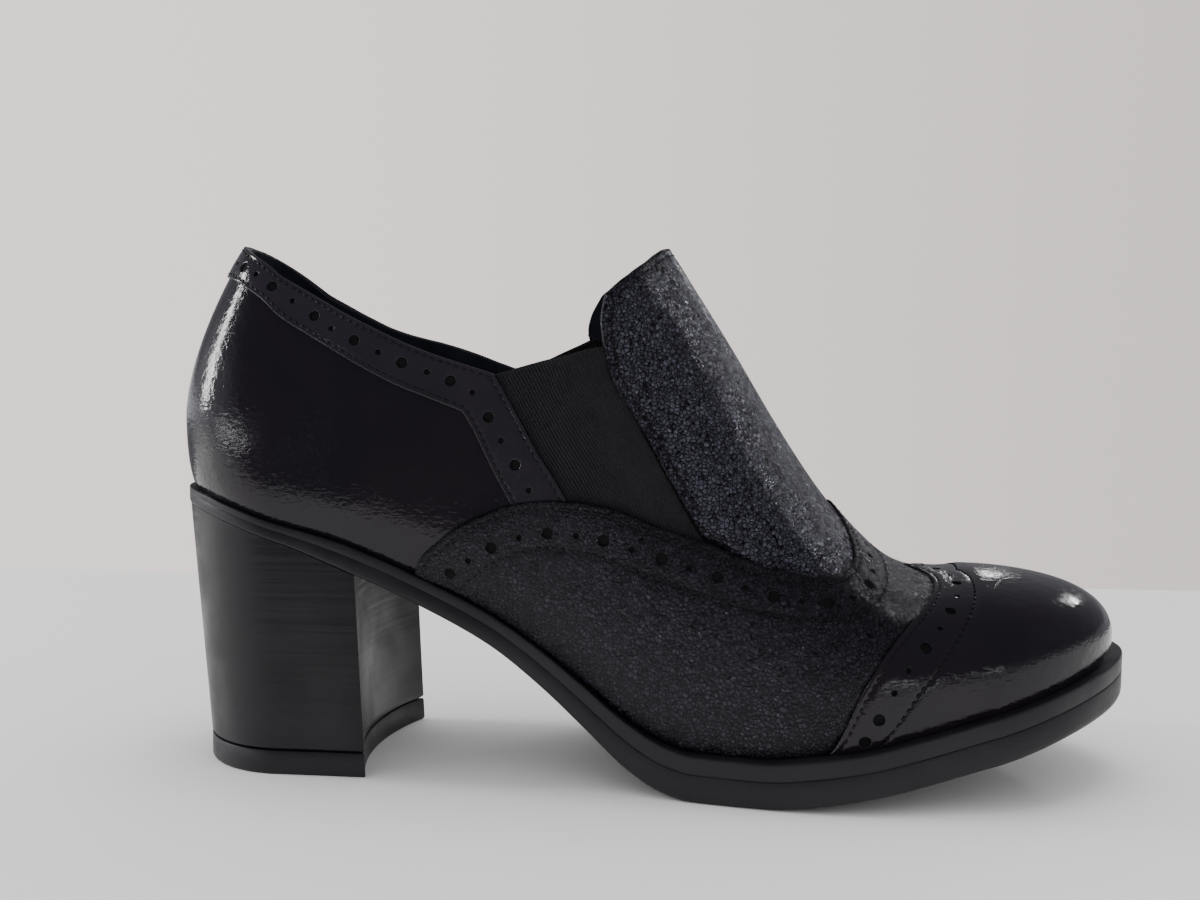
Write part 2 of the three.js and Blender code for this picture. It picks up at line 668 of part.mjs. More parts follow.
// The upper: one hollow shell, open at the collar and underneath, with a window at each side
function upperGeometry() {
  const ridgeStart = topLine[topLine.length - 1].station;
  const stations = [
    ...heelStations,
    ...topLine.map((row) => row.station).filter((station) => station > 1),
    ...spread(ridgeStart, 2, ridgeSteps).slice(1),
    ...toeStations.slice(1),
  ];
  const gridOf = (side) =>
    stations.map((station) =>
      girthRows.map((share) => ({ station, girth: share * topGirth(station), side })),
    );
  const shell = wallOver(bothSides(gridOf), -upperWall, 0);
  const cutters = bothSides((side) => windowGrid(side, windowSpare));
  return cutters.reduce((cut, grid) => {
    const window = wallOver([grid], -2 * upperWall, upperWall / 2);
    return geometryOf(solidOf(cut).subtract(solidOf(window)));
  }, shell);
}

const noSpare = { across: 0, above: 0, below: 0 };

function goreGeometry(side) {
  const outer = -goreRecess;
  return wallOver([windowGrid(side, noSpare)], outer - goreThickness, outer);
}

// A panel that spans from one path to another, by rows of matched places
const panelGrid = (rows, steps, side) =>
  rows.map(({ station, girth, low, lowGirth }) =>
    spread(0, 1, steps).map((t) => ({
      station: THREE.MathUtils.lerp(low, station, t),
      girth: THREE.MathUtils.lerp(lowGirth, girth, t),
      side,
    })),
  );

function bandGeometry() {
  const grids = bothSides((side) => panelGrid(bandPath, 2, side));
  return wallOver(grids, layerGap, layerGap + bandThickness);
}

// The wing ends a little behind the toe cap's back edge
function wingGeometry() {
  const rows = wingLine.map((row) => ({
    ...row,
    low: Math.min(row.low, capStation(row.lowGirth) - edgeStep),
  }));
  const grids = bothSides((side) => panelGrid(rows, panelSteps, side));
  return wallOver(grids, layerGap, layerGap + vampThickness);
}

// The toe cap: from its winged back edge to the tip
function capGeometry() {
  const gridOf = (side) => {
    const rows = capEdge.map(({ girth, station: edge }) => {
      const stations = [...spread(edge, 2, 3), ...toeStations.slice(1)];
      return stations.map((station) => ({ station, girth, side }));
    });
    return rows[0].map((_, j) => rows.map((row) => row[j]));
  };
  return wallOver(bothSides(gridOf), layerGap, layerGap + capThickness);
}

// The tongue: a saddle over the instep between its back edges, the top line and the wing
function tongueGeometry() {
  const start = tongueEdge[0];
  const end = tongueEdge[tongueEdge.length - 1];
  const top = topLine.filter((row) => row.station >= start.station);
  const bottom = wingLine
    .filter((row) => row.station > end.station)
    .map(({ station, girth }) => ({
      station: station - edgeStep,
      girth: girth + 2 * edgeStep * (1 - girth),
    }));
  const along = (rows, t) => {
    const lengths = [0];
    for (let i = 1; i < rows.length; i += 1) {
      const step = Math.hypot(rows[i].station - rows[i - 1].station, rows[i].girth - rows[i - 1].girth);
      lengths.push(lengths[i - 1] + step);
    }
    const goal = t * lengths[lengths.length - 1];
    let i = 1;
    while (i < rows.length - 1 && lengths[i] < goal) i += 1;
    const s = (goal - lengths[i - 1]) / (lengths[i] - lengths[i - 1]);
    return {
      station: THREE.MathUtils.lerp(rows[i - 1].station, rows[i].station, s),
      girth: THREE.MathUtils.lerp(rows[i - 1].girth, rows[i].girth, s),
    };
  };
  const edge = [...tongueEdge.slice(0, -1), bottom[0]];
  const corners = { top: along(top, 0), bottom: along(bottom, 0) };
  const gridOf = (side) =>
    spread(0, 1, panelSteps).map((a) =>
      spread(0, 1, panelSteps + 2).map((b) => {
        const place = { side };
        for (const key of ["station", "girth"]) {
          const across = THREE.MathUtils.lerp(along(top, a)[key], along(bottom, a)[key], 1 - b);
          const straight = THREE.MathUtils.lerp(corners.top[key], corners.bottom[key], 1 - b);
          place[key] = across + (1 - a) * (along(edge, 1 - b)[key] - straight);
        }
        return place;
      }),
    );
  return wallOver(bothSides(gridOf), layerGap, layerGap + tongueThickness);
}

const patent = { color: 0x0c090b, roughness: 0.12, metalness: 0 };
const grained = { color: 0x1a1b1f, roughness: 0.45, metalness: 0.35 };
const elastic = { color: 0x111113, roughness: 0.85, metalness: 0 };
const rubber = { color: 0x0d0d0e, roughness: 0.55, metalness: 0 };
const stacked = { color: 0x100f10, roughness: 0.4, metalness: 0 };
const lining = { color: 0x0e1016, roughness: 0.8, metalness: 0 };

const shoe = new THREE.Group();
function add(name, geometry, finish) {
  const piece = new THREE.Mesh(geometry, new THREE.MeshStandardMaterial(finish));
  piece.name = name;
  shoe.add(piece);
}

add("outsole", outsoleGeometry(), rubber);
add("heel", heelGeometry(), stacked);
add("heel_lift", liftGeometry(), rubber);
add("insole", insoleGeometry(), lining);
add("upper", upperGeometry(), patent);
add("gore_lateral", goreGeometry(lateral), elastic);
add("gore_medial", goreGeometry(medial), elastic);
add("tongue", tongueGeometry(), grained);
add("vamp_wing", wingGeometry(), grained);
add("toe_cap", capGeometry(), patent);
add("collar_band", bandGeometry(), patent);

// The origin is the middle of the shoe's box, on the floor
const box = new THREE.Box3().setFromObject(shoe);
const centre = box.getCenter(new THREE.Vector3());
shoe.position.set(-centre.x, -centre.y, -box.min.z);
shoe.updateMatrixWorld(true);

export default shoe;
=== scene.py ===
import math
import bpy
import numpy as np
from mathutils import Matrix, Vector
from mathutils.geometry import delaunay_2d_cdt


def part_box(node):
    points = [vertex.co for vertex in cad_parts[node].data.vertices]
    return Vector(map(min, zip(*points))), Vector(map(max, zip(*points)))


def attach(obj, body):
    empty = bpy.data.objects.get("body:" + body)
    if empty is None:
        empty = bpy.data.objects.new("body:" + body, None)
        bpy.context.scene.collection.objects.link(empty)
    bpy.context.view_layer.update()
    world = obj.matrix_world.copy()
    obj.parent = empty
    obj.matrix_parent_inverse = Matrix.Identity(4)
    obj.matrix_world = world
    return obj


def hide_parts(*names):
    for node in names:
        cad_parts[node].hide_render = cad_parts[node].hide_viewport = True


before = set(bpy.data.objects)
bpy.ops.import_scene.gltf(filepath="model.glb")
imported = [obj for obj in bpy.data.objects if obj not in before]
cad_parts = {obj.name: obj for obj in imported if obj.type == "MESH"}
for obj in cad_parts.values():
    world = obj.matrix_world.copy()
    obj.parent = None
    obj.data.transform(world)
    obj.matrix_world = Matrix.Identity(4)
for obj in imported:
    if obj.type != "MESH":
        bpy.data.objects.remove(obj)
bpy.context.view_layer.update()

# A right shoe with a block heel. Lengths are in millimetres until a mesh is made.
mm = 0.001
lateral, medial = -1, 1

# The last and the sole, as in the solids
shoe = {
    "length": 240, "ballWidth": 90, "heelHeight": 66, "soleThickness": 11, "toeSpring": 20.5,
    "instep": 100, "ledge": 5, "heelAxisAt": 0.125, "toeAxisAt": 0.842,
    "bellyGirth": 0.2, "lowerHandle": 0.3, "toeTaper": 0.2,
    "smoothing": 0.011,  # share of the length over which the tables are evened out
}
soleProfile = np.array([  # at, rise, spring, thick
    (0, 1, 0, 0.36), (0.125, 0.885, 0, 0.4), (0.204, 0.767, 0, 0.6), (0.279, 0.636, 0, 0.64),
    (0.346, 0.5, 0, 0.71), (0.396, 0.365, 0, 0.82), (0.442, 0.223, 0, 0.94), (0.4875, 0.085, 0, 1.04),
    (0.521, 0.021, 0, 1.05), (0.55, 0, 0, 1.02), (0.617, 0, 0, 1), (0.667, 0, 0.059, 1.02),
    (0.717, 0, 0.161, 1), (0.7625, 0, 0.278, 1.02), (0.8125, 0, 0.424, 1.03), (0.8625, 0, 0.585, 1.04),
    (0.917, 0, 0.771, 1.02), (0.967, 0, 0.922, 1), (1, 0, 1, 0.98)])
solePlan = np.array([  # at, half, swing, ledge
    (0.125, 0.3245, 0, 0.3), (0.1875, 0.3178, -0.0044, 0.29), (0.25, 0.2933, -0.01, 0.27),
    (0.3125, 0.2767, -0.0156, 0.5), (0.346, 0.2744, -0.0189, 0.52), (0.396, 0.29, -0.0233, 0.58),
    (0.442, 0.3222, -0.0222, 0.68), (0.4875, 0.3667, -0.0167, 0.78), (0.521, 0.4, -0.0111, 0.88),
    (0.575, 0.4456, 0, 0.95), (0.625, 0.48, 0.0089, 0.98), (0.675, 0.5011, 0.0144, 1),
    (0.717, 0.5033, 0.0178, 1), (0.7625, 0.4889, 0.0211, 1), (0.8, 0.4694, 0.0222, 1),
    (0.842, 0.4511, 0.0228, 1)])
sections = np.array([  # at, outer, inner, belly, top, wall, crown
    (0.125, 0.029, 0.027, 0.18, 0.812, 0.4, 0.45), (0.25, 0.05, 0.056, 0.2, 0.92, 0.55, 0.7),
    (0.346, 0.067, 0.078, 0.24, 1.05, 0.5, 0.75), (0.417, 0.067, 0.072, 0.26, 1.18, 0.45, 0.7),
    (0.467, 0.053, 0.056, 0.26, 1.28, 0.4, 0.55), (0.521, 0.036, 0.038, 0.24, 1.166, 0.38, 0.4),
    (0.575, 0.024, 0.024, 0.2, 0.981, 0.42, 0.36), (0.625, 0.018, 0.018, 0.16, 0.782, 0.45, 0.36),
    (0.675, 0.013, 0.013, 0.13, 0.581, 0.5, 0.42), (0.717, 0.011, 0.011, 0.12, 0.446, 0.52, 0.5),
    (0.7625, 0.01, 0.01, 0.11, 0.331, 0.55, 0.58), (0.8, 0.009, 0.009, 0.1, 0.286, 0.57, 0.62),
    (0.842, 0.009, 0.009, 0.09, 0.262, 0.58, 0.66)])
heelProfile = {"reach": 0.123, "ledge": 0.34, "bulge": 0.024, "belly": 0.174, "wall": 0.33, "crown": 0.33}
toeProfile = {"reach": 0.158, "ledge": 1.06, "bulge": 0.008, "belly": 0.05, "wall": 0.58, "crown": 0.7}
heelAxis = (shoe["heelAxisAt"] - 0.5) * shoe["length"]
toeAxis = (shoe["toeAxisAt"] - 0.5) * shoe["length"]
axisSpan = toeAxis - heelAxis


def curveThrough(places, values, smoothing=0.0):
    # never overshoots its rows and is level at both ends
    step = np.diff(places)
    slope = np.diff(values) / step
    tangent = np.zeros(len(places))
    for i in range(1, len(places) - 1):
        before, after = slope[i - 1], slope[i]
        if before * after > 0:
            weightBefore = 2 * step[i] + step[i - 1]
            weightAfter = step[i] + 2 * step[i - 1]
            tangent[i] = (weightBefore + weightAfter) / (weightBefore / before + weightAfter / after)
    fine = np.linspace(places[0], places[-1], 1601)
    i = np.clip(np.searchsorted(places, fine, side="right") - 1, 0, len(places) - 2)
    t = (fine - places[i]) / step[i]
    heights = ((2 * t**3 - 3 * t**2 + 1) * values[i] + (t**3 - 2 * t**2 + t) * step[i] * tangent[i]
               + (3 * t**2 - 2 * t**3) * values[i + 1] + (t**3 - t**2) * step[i] * tangent[i + 1])
    if smoothing:
        reach = int(round(3 * smoothing / (fine[1] - fine[0])))
        weights = np.exp(-0.5 * (3 * np.arange(-reach, reach + 1) / reach) ** 2)
        heights = np.convolve(np.pad(heights, reach, mode="edge"), weights / weights.sum(), mode="valid")
    return lambda place: np.interp(place, fine, heights)


riseAt, springAt, thickAt = [
    curveThrough(soleProfile[:, 0], soleProfile[:, k], shoe["smoothing"] / 2) for k in (1, 2, 3)]
halfAt, swingAt, ledgeAt = [curveThrough(solePlan[:, 0], solePlan[:, k], shoe["smoothing"]) for k in (1, 2, 3)]
outerAt, innerAt, bellyAt, topAt, wallAt, crownAt = [
    curveThrough(sections[:, 0], sections[:, k], shoe["smoothing"]) for k in range(1, 7)]


def underside(x):
    at = x / shoe["length"] + 0.5
    return shoe["heelHeight"] * riseAt(at) + shoe["toeSpring"] * springAt(at)


def soleDepth(x):
    return shoe["soleThickness"] * thickAt(x / shoe["length"] + 0.5)


def seat(x):
    return underside(x) + soleDepth(x)


def halfSection(foot, widest, belly, top, wall, crown, girth):
    # from the foot out to the widest point, then up and in to the ridge
    split = shoe["bellyGirth"]
    t = np.clip(girth / split, 0, 1)
    lowHalf = (1 - t) ** 2 * foot + 2 * (1 - t) * t * widest + t * t * widest
    lowHeight = 2 * (1 - t) * t * shoe["lowerHandle"] * belly + t * t * belly
    t = np.clip((girth - split) / (1 - split), 0, 1)
    s = 1 - t
    half = s**3 * widest + 3 * s * s * t * widest + 3 * s * t * t * crown * widest
    handle = belly + wall * (top - belly)
    height = s**3 * belly + 3 * s * s * t * handle + 3 * s * t * t * top + t**3 * top
    below = girth < split
    return np.where(below, lowHalf, half), np.where(below, lowHeight, height)


def stationParts(station):
    at = np.clip(shoe["heelAxisAt"] + (shoe["toeAxisAt"] - shoe["heelAxisAt"]) * (station - 1),
                 shoe["heelAxisAt"], shoe["toeAxisAt"])
    back = station < 1.5
    turn = math.pi / 2 * np.clip(np.where(back, station, 3 - station), 0, 1)
    return at, back, np.cos(turn), np.sin(turn), np.where(back, -1, 1)


def outerFace(station, girth, side):
    # the upper's outer face: station 0 heel back, 1 heel axis, 2 toe axis, 3 toe tip
    at, back, along, across, way = stationParts(station)
    end = {key: np.where(back, heelProfile[key], toeProfile[key]) for key in heelProfile}
    axis = (at - 0.5) * shoe["length"]
    tip = end["reach"] * shoe["length"] - end["ledge"] * shoe["ledge"]
    level = seat(axis + way * tip * along)
    foot = shoe["ballWidth"] * halfAt(at) - shoe["ledge"] * ledgeAt(at)
    widest = foot + shoe["ballWidth"] * np.where(side < 0, outerAt(at), innerAt(at))
    top = seat(axis) + shoe["instep"] * topAt(at) - level
    endHalf, endHeight = halfSection(tip, tip + end["bulge"] * shoe["ballWidth"], end["belly"] * shoe["instep"],
                                     top, end["wall"], end["crown"], girth)
    half, height = halfSection(foot, widest, shoe["instep"] * bellyAt(at), top, wallAt(at), crownAt(at), girth)
    share = along**2
    taper = np.where(back, 0, shoe["toeTaper"])
    return np.stack([
        axis + way * endHalf * along,
        shoe["ballWidth"] * swingAt(at) + side * half * across * (1 - taper * along),
        level + endHeight * share + height * (1 - share)], -1)


def unit(vectors):
    return vectors / np.maximum(np.linalg.norm(vectors, axis=-1, keepdims=True), 1e-9)


def faceNormal(station, girth, side):
    step = 0.001
    u = np.clip(station, step, 3 - step)
    g = np.clip(girth, 2 * step, 1 - 2 * step)
    alongStep = outerFace(u + step, g, side) - outerFace(u - step, g, side)
    upStep = outerFace(u, g + step, side) - outerFace(u, g - step, side)
    normal = unit(np.cross(alongStep, upStep) * -np.asarray(side)[..., None])
    normal[..., 2] *= np.clip((girth / shoe["bellyGirth"] - 1) * 1.5, 0, 1)  # level beside the sole
    normal[..., 1] *= np.clip((1 - girth) / 0.004, 0, 1) * np.clip(station / 0.004, 0, 1)  # straight on the middle
    return unit(normal)


def skin(station, girth, side, offset):
    base = outerFace(station, girth, side)
    moved = base + faceNormal(station, girth, side) * np.asarray(offset)[..., None]
    hold = 1 - np.clip(girth / shoe["bellyGirth"], 0, 1)
    moved[..., 2] += hold * (seat(moved[..., 0]) - seat(base[..., 0]))
    return moved


def soleEdge(station, side, inset):
    at, back, along, across, way = stationParts(station)
    reach = np.where(back, heelProfile["reach"], toeProfile["reach"]) * shoe["length"] - inset
    taper = np.where(back, 0, shoe["toeTaper"])
    half = (shoe["ballWidth"] * halfAt(at) - inset) * (1 - taper * along)
    axis = (at - 0.5) * shoe["length"]
    return axis + way * reach * along, shoe["ballWidth"] * swingAt(at) + side * half * across


# The solids stand centred on their box, so the scene takes the same shift
stations = np.linspace(0, 3, 601)
edgeY = [soleEdge(stations, side, 0)[1] for side in (lateral, medial)]
soleLow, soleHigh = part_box("outsole")
shift = np.array([
    (soleLow.x + soleHigh.x) / 2 / mm - (heelAxis - heelProfile["reach"] * shoe["length"]
                                         + toeAxis + toeProfile["reach"] * shoe["length"]) / 2,
    (soleLow.y + soleHigh.y) / 2 / mm - (edgeY[0].min() + edgeY[1].max()) / 2,
    0])
print("shift of the frame, mm:", shift.round(2))


def placed(points):
    return (np.asarray(points, float) + shift) * mm


# Two ways of laying the upper flat: fore is opened along the ridge, rear is unrolled round the heel
flat = {"fore": 95, "rear": 110, "heelArc": 46}


def foreFlat(station, girth, side):
    station, girth, side = np.broadcast_arrays(*[np.asarray(v, float) for v in (station, girth, side)])
    reach = (1 - girth) * flat["fore"]
    turn = math.pi / 2 * np.clip(station - 2, 0, 1)
    x = axisSpan * np.minimum(station - 1, 1) + reach * np.sin(turn)
    return np.stack([x, side * reach * np.cos(turn)], -1)


def forePlace(points):
    x, y = points[..., 0], points[..., 1]
    beyond = x > axisSpan
    reach = np.where(beyond, np.hypot(x - axisSpan, y), np.abs(y))
    turn = np.arctan2(x - axisSpan, np.abs(y) + 1e-9) / (math.pi / 2)
    station = np.where(beyond, 2 + turn, 1 + x / axisSpan)
    return station, np.clip(1 - reach / flat["fore"], 0, 1), np.where(y > 0, medial, lateral)


def rearFlat(station, girth, side):
    station, girth, side = np.broadcast_arrays(*[np.asarray(v, float) for v in (station, girth, side)])
    x = np.where(station < 1, station * flat["heelArc"], flat["heelArc"] + axisSpan * (station - 1))
    return np.stack([side * x, girth * flat["rear"]], -1)


def rearPlace(points):
    x = np.abs(points[..., 0])
    station = np.where(x < flat["heelArc"], x / flat["heelArc"], 1 + (x - flat["heelArc"]) / axisSpan)
    return station, np.clip(points[..., 1] / flat["rear"], 0, 1), np.where(points[..., 0] > 0, medial, lateral)


def resampled(path, spacing=1.2):
    path = np.asarray(path, float)
    run = np.r_[0, np.cumsum(np.linalg.norm(np.diff(path, axis=0), axis=1))]
    where = np.linspace(0, run[-1], max(2, int(round(run[-1] / spacing)) + 1))
    return np.stack([np.interp(where, run, path[:, k]) for k in range(path.shape[1])], 1)


def smoothed(path):
    # a soft curve through the points of a path
    path = np.asarray(path, float)
    before = np.vstack([2 * path[0] - path[1], path[:-1]])
    after = np.vstack([path[1:], 2 * path[-1] - path[-2]])
    slope = (after - before) / 2
    t = np.linspace(0, 1, 12, endpoint=False)[:, None]
    out = [(2 * t**3 - 3 * t**2 + 1) * path[i] + (t**3 - 2 * t**2 + t) * slope[i]
           + (3 * t**2 - 2 * t**3) * path[i + 1] + (t**3 - t**2) * slope[i + 1] for i in range(len(path) - 1)]
    return resampled(np.vstack(out + [path[-1:]]), 1.0)


def segments(loops):
    return np.vstack(loops), np.vstack([np.roll(loop, -1, axis=0) for loop in loops])


def loopDistance(points, loops):
    starts, ends = segments(loops)
    span = ends - starts
    length2 = np.maximum((span**2).sum(1), 1e-12)
    nearest = np.empty(len(points))
    for k in range(0, len(points), 1500):
        part = points[k:k + 1500, None]
        t = np.clip(((part - starts) * span).sum(-1) / length2, 0, 1)
        nearest[k:k + 1500] = np.sqrt((((part - starts) - t[..., None] * span) ** 2).sum(-1).min(1))
    return nearest


def insideLoops(points, loops):
    starts, ends = segments(loops)
    inside = np.zeros(len(points), bool)
    rise = ends[:, 1] - starts[:, 1]
    rise = np.where(np.abs(rise) < 1e-12, 1e-12, rise)
    for k in range(0, len(points), 1500):
        x, y = points[k:k + 1500, :1], points[k:k + 1500, 1:]
        crosses = (starts[:, 1] > y) != (ends[:, 1] > y)
        atX = starts[:, 0] + (y - starts[:, 1]) * (ends[:, 0] - starts[:, 0]) / rise
        inside[k:k + 1500] = ((crosses & (x < atX)).sum(1) % 2) == 1
    return inside


def pathDistance(points, paths):
    return np.min([loopDistance(points, [np.vstack([path, path[::-1]])]) for path in paths], axis=0)


def linked(name, data):
    made = bpy.data.objects.new(name, data)
    bpy.context.scene.collection.objects.link(made)
    return made


def newObject(name, verts, faces, material):
    mesh = bpy.data.meshes.new(name)
    mesh.from_pydata(placed(verts).tolist(), [], [list(map(int, face)) for face in faces])
    mesh.polygons.foreach_set("use_smooth", [True] * len(mesh.polygons))
    mesh.materials.append(material)
    mesh.update()
    return linked(name, mesh)


def finishPiece(made, slot, *nodes):
    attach(made, "root")
    if nodes:
        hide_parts(*nodes)
    return made


def holeLoop(centre, radius, toPlace, count):
    # a round hole of the upper, laid flat
    step = 0.3
    spots = np.array([centre, centre + (step, 0), centre + (0, step)])
    here, ahead, beside = outerFace(*toPlace(spots))
    first, second = (ahead - here) / step, (beside - here) / step
    length = np.linalg.norm(first)
    slant = second @ first / length
    square = math.sqrt(max(second @ second - slant**2, 1e-9))
    angles = np.linspace(0, 2 * math.pi, count, endpoint=False)
    b = radius * np.sin(angles) / square
    a = (radius * np.cos(angles) - b * slant) / length
    return centre + np.stack([a, b], 1)


def waviness(points, size):
    # slow unevenness of hand-lasted leather
    turn = unit(np.random.default_rng(7).normal(size=(9, 3)))
    waves = [np.sin(points @ turn[k] * 2 * math.pi / (size * (0.7 + 0.13 * k)) + 1.7 * k) for k in range(9)]
    return np.sum(waves, axis=0) / 9


# How every leather panel is cut, rounded and pressed, and how far and how deep the painted shade near its edges, holes
# and stitch grooves reaches
leather = {
    "edgeRings": (0.14, 0.4, 0.9), "edgeClear": 1.3, "rounding": 0.45, "thinRounding": 0.65, "edgePressShade": 0.9,
    "holeRings": (0.13, 0.3), "holeRounding": 0.14, "holeDrop": 0.13, "holePressShade": 0.3, "holePressShadeShare": 0.8,
    "rowRings": (-0.75, -0.3, 0.0, 0.3, 0.75), "rowClear": 1.25, "rowWidth": 0.5, "rowDepth": 0.22,
    "rowPressShade": 0.6, "rowPressShadeShare": 0.45, "leastStep": 0.1, "waveSize": 22,
}


def rounded(distance, width):
    # the drop of a quarter-round edge, as a share of its whole drop
    return 1 - np.sqrt(1 - (1 - np.clip(distance / width, 0, 1)) ** 2)


def fading(distance, width):
    return np.exp(-(distance / width) ** 2)


def panelSpots(outline, holes, rows, spacing):
    # a flat panel's mesh, finer beside its edges, holes and rows
    loops = [outline, *holes]
    area = 0.5 * np.sum(outline[:, 0] * np.roll(outline[:, 1], -1) - np.roll(outline[:, 0], -1) * outline[:, 1])
    forward = np.roll(outline, -1, axis=0) - np.roll(outline, 1, axis=0)
    inward = unit(np.stack([-forward[:, 1], forward[:, 0]], 1) * np.sign(area))
    extra = []
    for depth in leather["edgeRings"]:
        ring = outline + inward * depth
        extra.append(ring[loopDistance(ring, [outline]) > depth * 0.93])
    for hole in holes:
        extra += [hole + unit(hole - hole.mean(0)) * grow for grow in leather["holeRings"]]
    for row in rows:
        along = np.gradient(row, axis=0)
        across = unit(np.stack([-along[:, 1], along[:, 0]], 1))
        extra += [row + across * offset for offset in leather["rowRings"]]
    extra = np.vstack(extra)
    extra = extra[insideLoops(extra, loops)]
    extra = extra[loopDistance(extra, loops) > leather["leastStep"]]
    low, high = outline.min(0), outline.max(0)
    gx, gy = np.meshgrid(np.arange(low[0], high[0], spacing), np.arange(low[1], high[1], spacing * 0.866))
    gx = gx + (np.arange(gx.shape[0])[:, None] % 2) * spacing / 2
    grid = np.stack([gx.ravel(), gy.ravel()], 1)
    grid = grid[insideLoops(grid, loops)]
    grid = grid[loopDistance(grid, loops) > leather["edgeClear"]]
    if rows:
        grid = grid[pathDistance(grid, rows) > leather["rowClear"]]
    edges, first = [], 0
    for loop in loops:
        edges += [(first + k, first + (k + 1) % len(loop)) for k in range(len(loop))]
        first += len(loop)
    found = delaunay_2d_cdt([Vector(spot) for spot in np.vstack([*loops, extra, grid])], edges, [], 0, 1e-5)
    spots = np.array([tuple(v) for v in found[0]])
    faces = np.array([face for face in found[2] if len(face) == 3])
    faces = faces[insideLoops(spots[faces].mean(1), loops)]
    used, faces = np.unique(faces, return_inverse=True)
    return spots[used], faces.reshape(-1, 3)


def leatherPanel(name, outline, toPlace, inner, outer, material, spacing=1.7, holes=(), grooves=(), wave=0.0,
                 shape=None):
    # a panel cut from flat leather, with its thickness, rounded edges, punched holes and sewn grooves
    spots, faces = panelSpots(outline, holes, grooves, spacing)
    place = toPlace(spots)
    rounding = min(leather["rounding"], leather["thinRounding"] * (outer - inner))
    fromEdge = loopDistance(spots, [outline])
    top = outer - rounding * rounded(fromEdge, rounding)
    # kept on the mesh for the grained leather: darker near cut edges, round holes and stitch grooves, painted shade in
    # these roundings and dips together with the darker pressed edge of the leather
    pressAndShade = fading(fromEdge, leather["edgePressShade"])
    if holes:
        fromHole = loopDistance(spots, holes)
        top -= leather["holeDrop"] * rounded(fromHole, leather["holeRounding"])
        pressAndShade = np.maximum(pressAndShade, leather["holePressShadeShare"] * fading(fromHole, leather["holePressShade"]))
    if grooves:
        fromRow = pathDistance(spots, grooves)
        top -= leather["rowDepth"] * fading(fromRow, leather["rowWidth"])
        pressAndShade = np.maximum(pressAndShade, leather["rowPressShadeShare"] * fading(fromRow, leather["rowPressShade"]))
    if shape:
        top = top + shape(spots)
    if wave:
        top = top + wave * waviness(outerFace(*place), leather["waveSize"])
    upper, under = skin(*place, top), skin(*place, inner)
    corners = upper[faces]
    facing = np.cross(corners[:, 1] - corners[:, 0], corners[:, 2] - corners[:, 0])
    if (facing * faceNormal(*place)[faces[:, 0]]).sum() < 0:
        faces = faces[:, ::-1]
    sides = np.vstack([faces[:, [0, 1]], faces[:, [1, 2]], faces[:, [2, 0]]])
    known = {(int(a), int(b)) for a, b in sides}
    count = len(spots)
    rim = [(b, a, a + count, b + count) for a, b in known if (b, a) not in known]
    made = newObject(name, np.vstack([upper, under]), faces.tolist() + (faces[:, ::-1] + count).tolist() + rim,
                     material)
    shadedPress = made.data.attributes.new("pressAndShade", "FLOAT", "POINT")
    shadedPress.data.foreach_set("value", np.r_[pressAndShade, pressAndShade])
    return made


def lined(*parts):
    # joins the parts of an outline, without doubling the points where they meet
    near = 0.05
    out = [parts[0]]
    for part in parts[1:]:
        out.append(part[1:] if np.linalg.norm(part[0] - out[-1][-1]) < near else part)
    loop = np.vstack(out)
    return loop[:-1] if np.linalg.norm(loop[0] - loop[-1]) < near else loop


def movedFlat(spots, moves, toPlace):
    # where flat points go when they are moved over the surface by moves given in space
    step = 0.3
    here = outerFace(*toPlace(spots))
    first = (outerFace(*toPlace(spots + (step, 0))) - here) / step
    second = (outerFace(*toPlace(spots + (0, step))) - here) / step
    a, b, c = (first * first).sum(1), (first * second).sum(1), (second * second).sum(1)
    p, q = (first * moves).sum(1), (second * moves).sum(1)
    root = np.maximum(a * c - b * b, 1e-6)
    return spots + np.stack([(c * p - b * q) / root, (a * q - b * p) / root], 1)


def besidePath(path, distance, toPlace):
    # the path moved sideways over the surface, to its left for a positive distance
    along = unit(np.gradient(outerFace(*toPlace(path)), axis=0))
    across = np.cross(faceNormal(*toPlace(path)), along)
    return movedFlat(path, across * distance, toPlace)


# Edge tables of the upper: station, girth on the lateral side
topLine = [(0, 0.7), (0.25, 0.695), (0.4, 0.686), (0.545, 0.672), (0.68, 0.657), (0.798, 0.642), (0.9, 0.627),
           (1.001, 0.607), (1.031, 0.585), (1.066, 0.549), (1.098, 0.513), (1.128, 0.486), (1.156, 0.467),
           (1.183, 0.455), (1.211, 0.447), (1.241, 0.441), (1.276, 0.437), (1.314, 0.435)]
medialDrop = np.array([  # station, how far the medial top line lies below the lateral one
    (0, 0), (0.3, -0.004), (0.532, -0.008), (0.753, -0.016), (0.923, -0.025), (1.018, -0.026), (1.048, -0.028),
    (1.08, -0.028), (1.111, -0.023), (1.143, -0.013), (1.176, -0.001), (1.21, 0.005), (1.245, 0.006), (1.29, 0.001),
    (1.314, 0)])
tongueTop = [(1.466, 0.632), (1.481, 0.665), (1.501, 0.717), (1.524, 0.8), (1.539, 0.89), (1.546, 0.95), (1.548, 1)]
tongueBack = [(1.466, 0.632), (1.461, 0.59), (1.466, 0.551), (1.476, 0.513), (1.486, 0.503), (1.504, 0.493),
              (1.529, 0.483), (1.551, 0.465), (1.576, 0.443), (1.604, 0.415)]
goreBack = [(1.314, 0.435), (1.344, 0.389), (1.376, 0.341), (1.402, 0.315), (1.43, 0.285)]
goreFront = [(1.466, 0.55), (1.482, 0.51), (1.518, 0.487), (1.563, 0.452), (1.612, 0.398)]
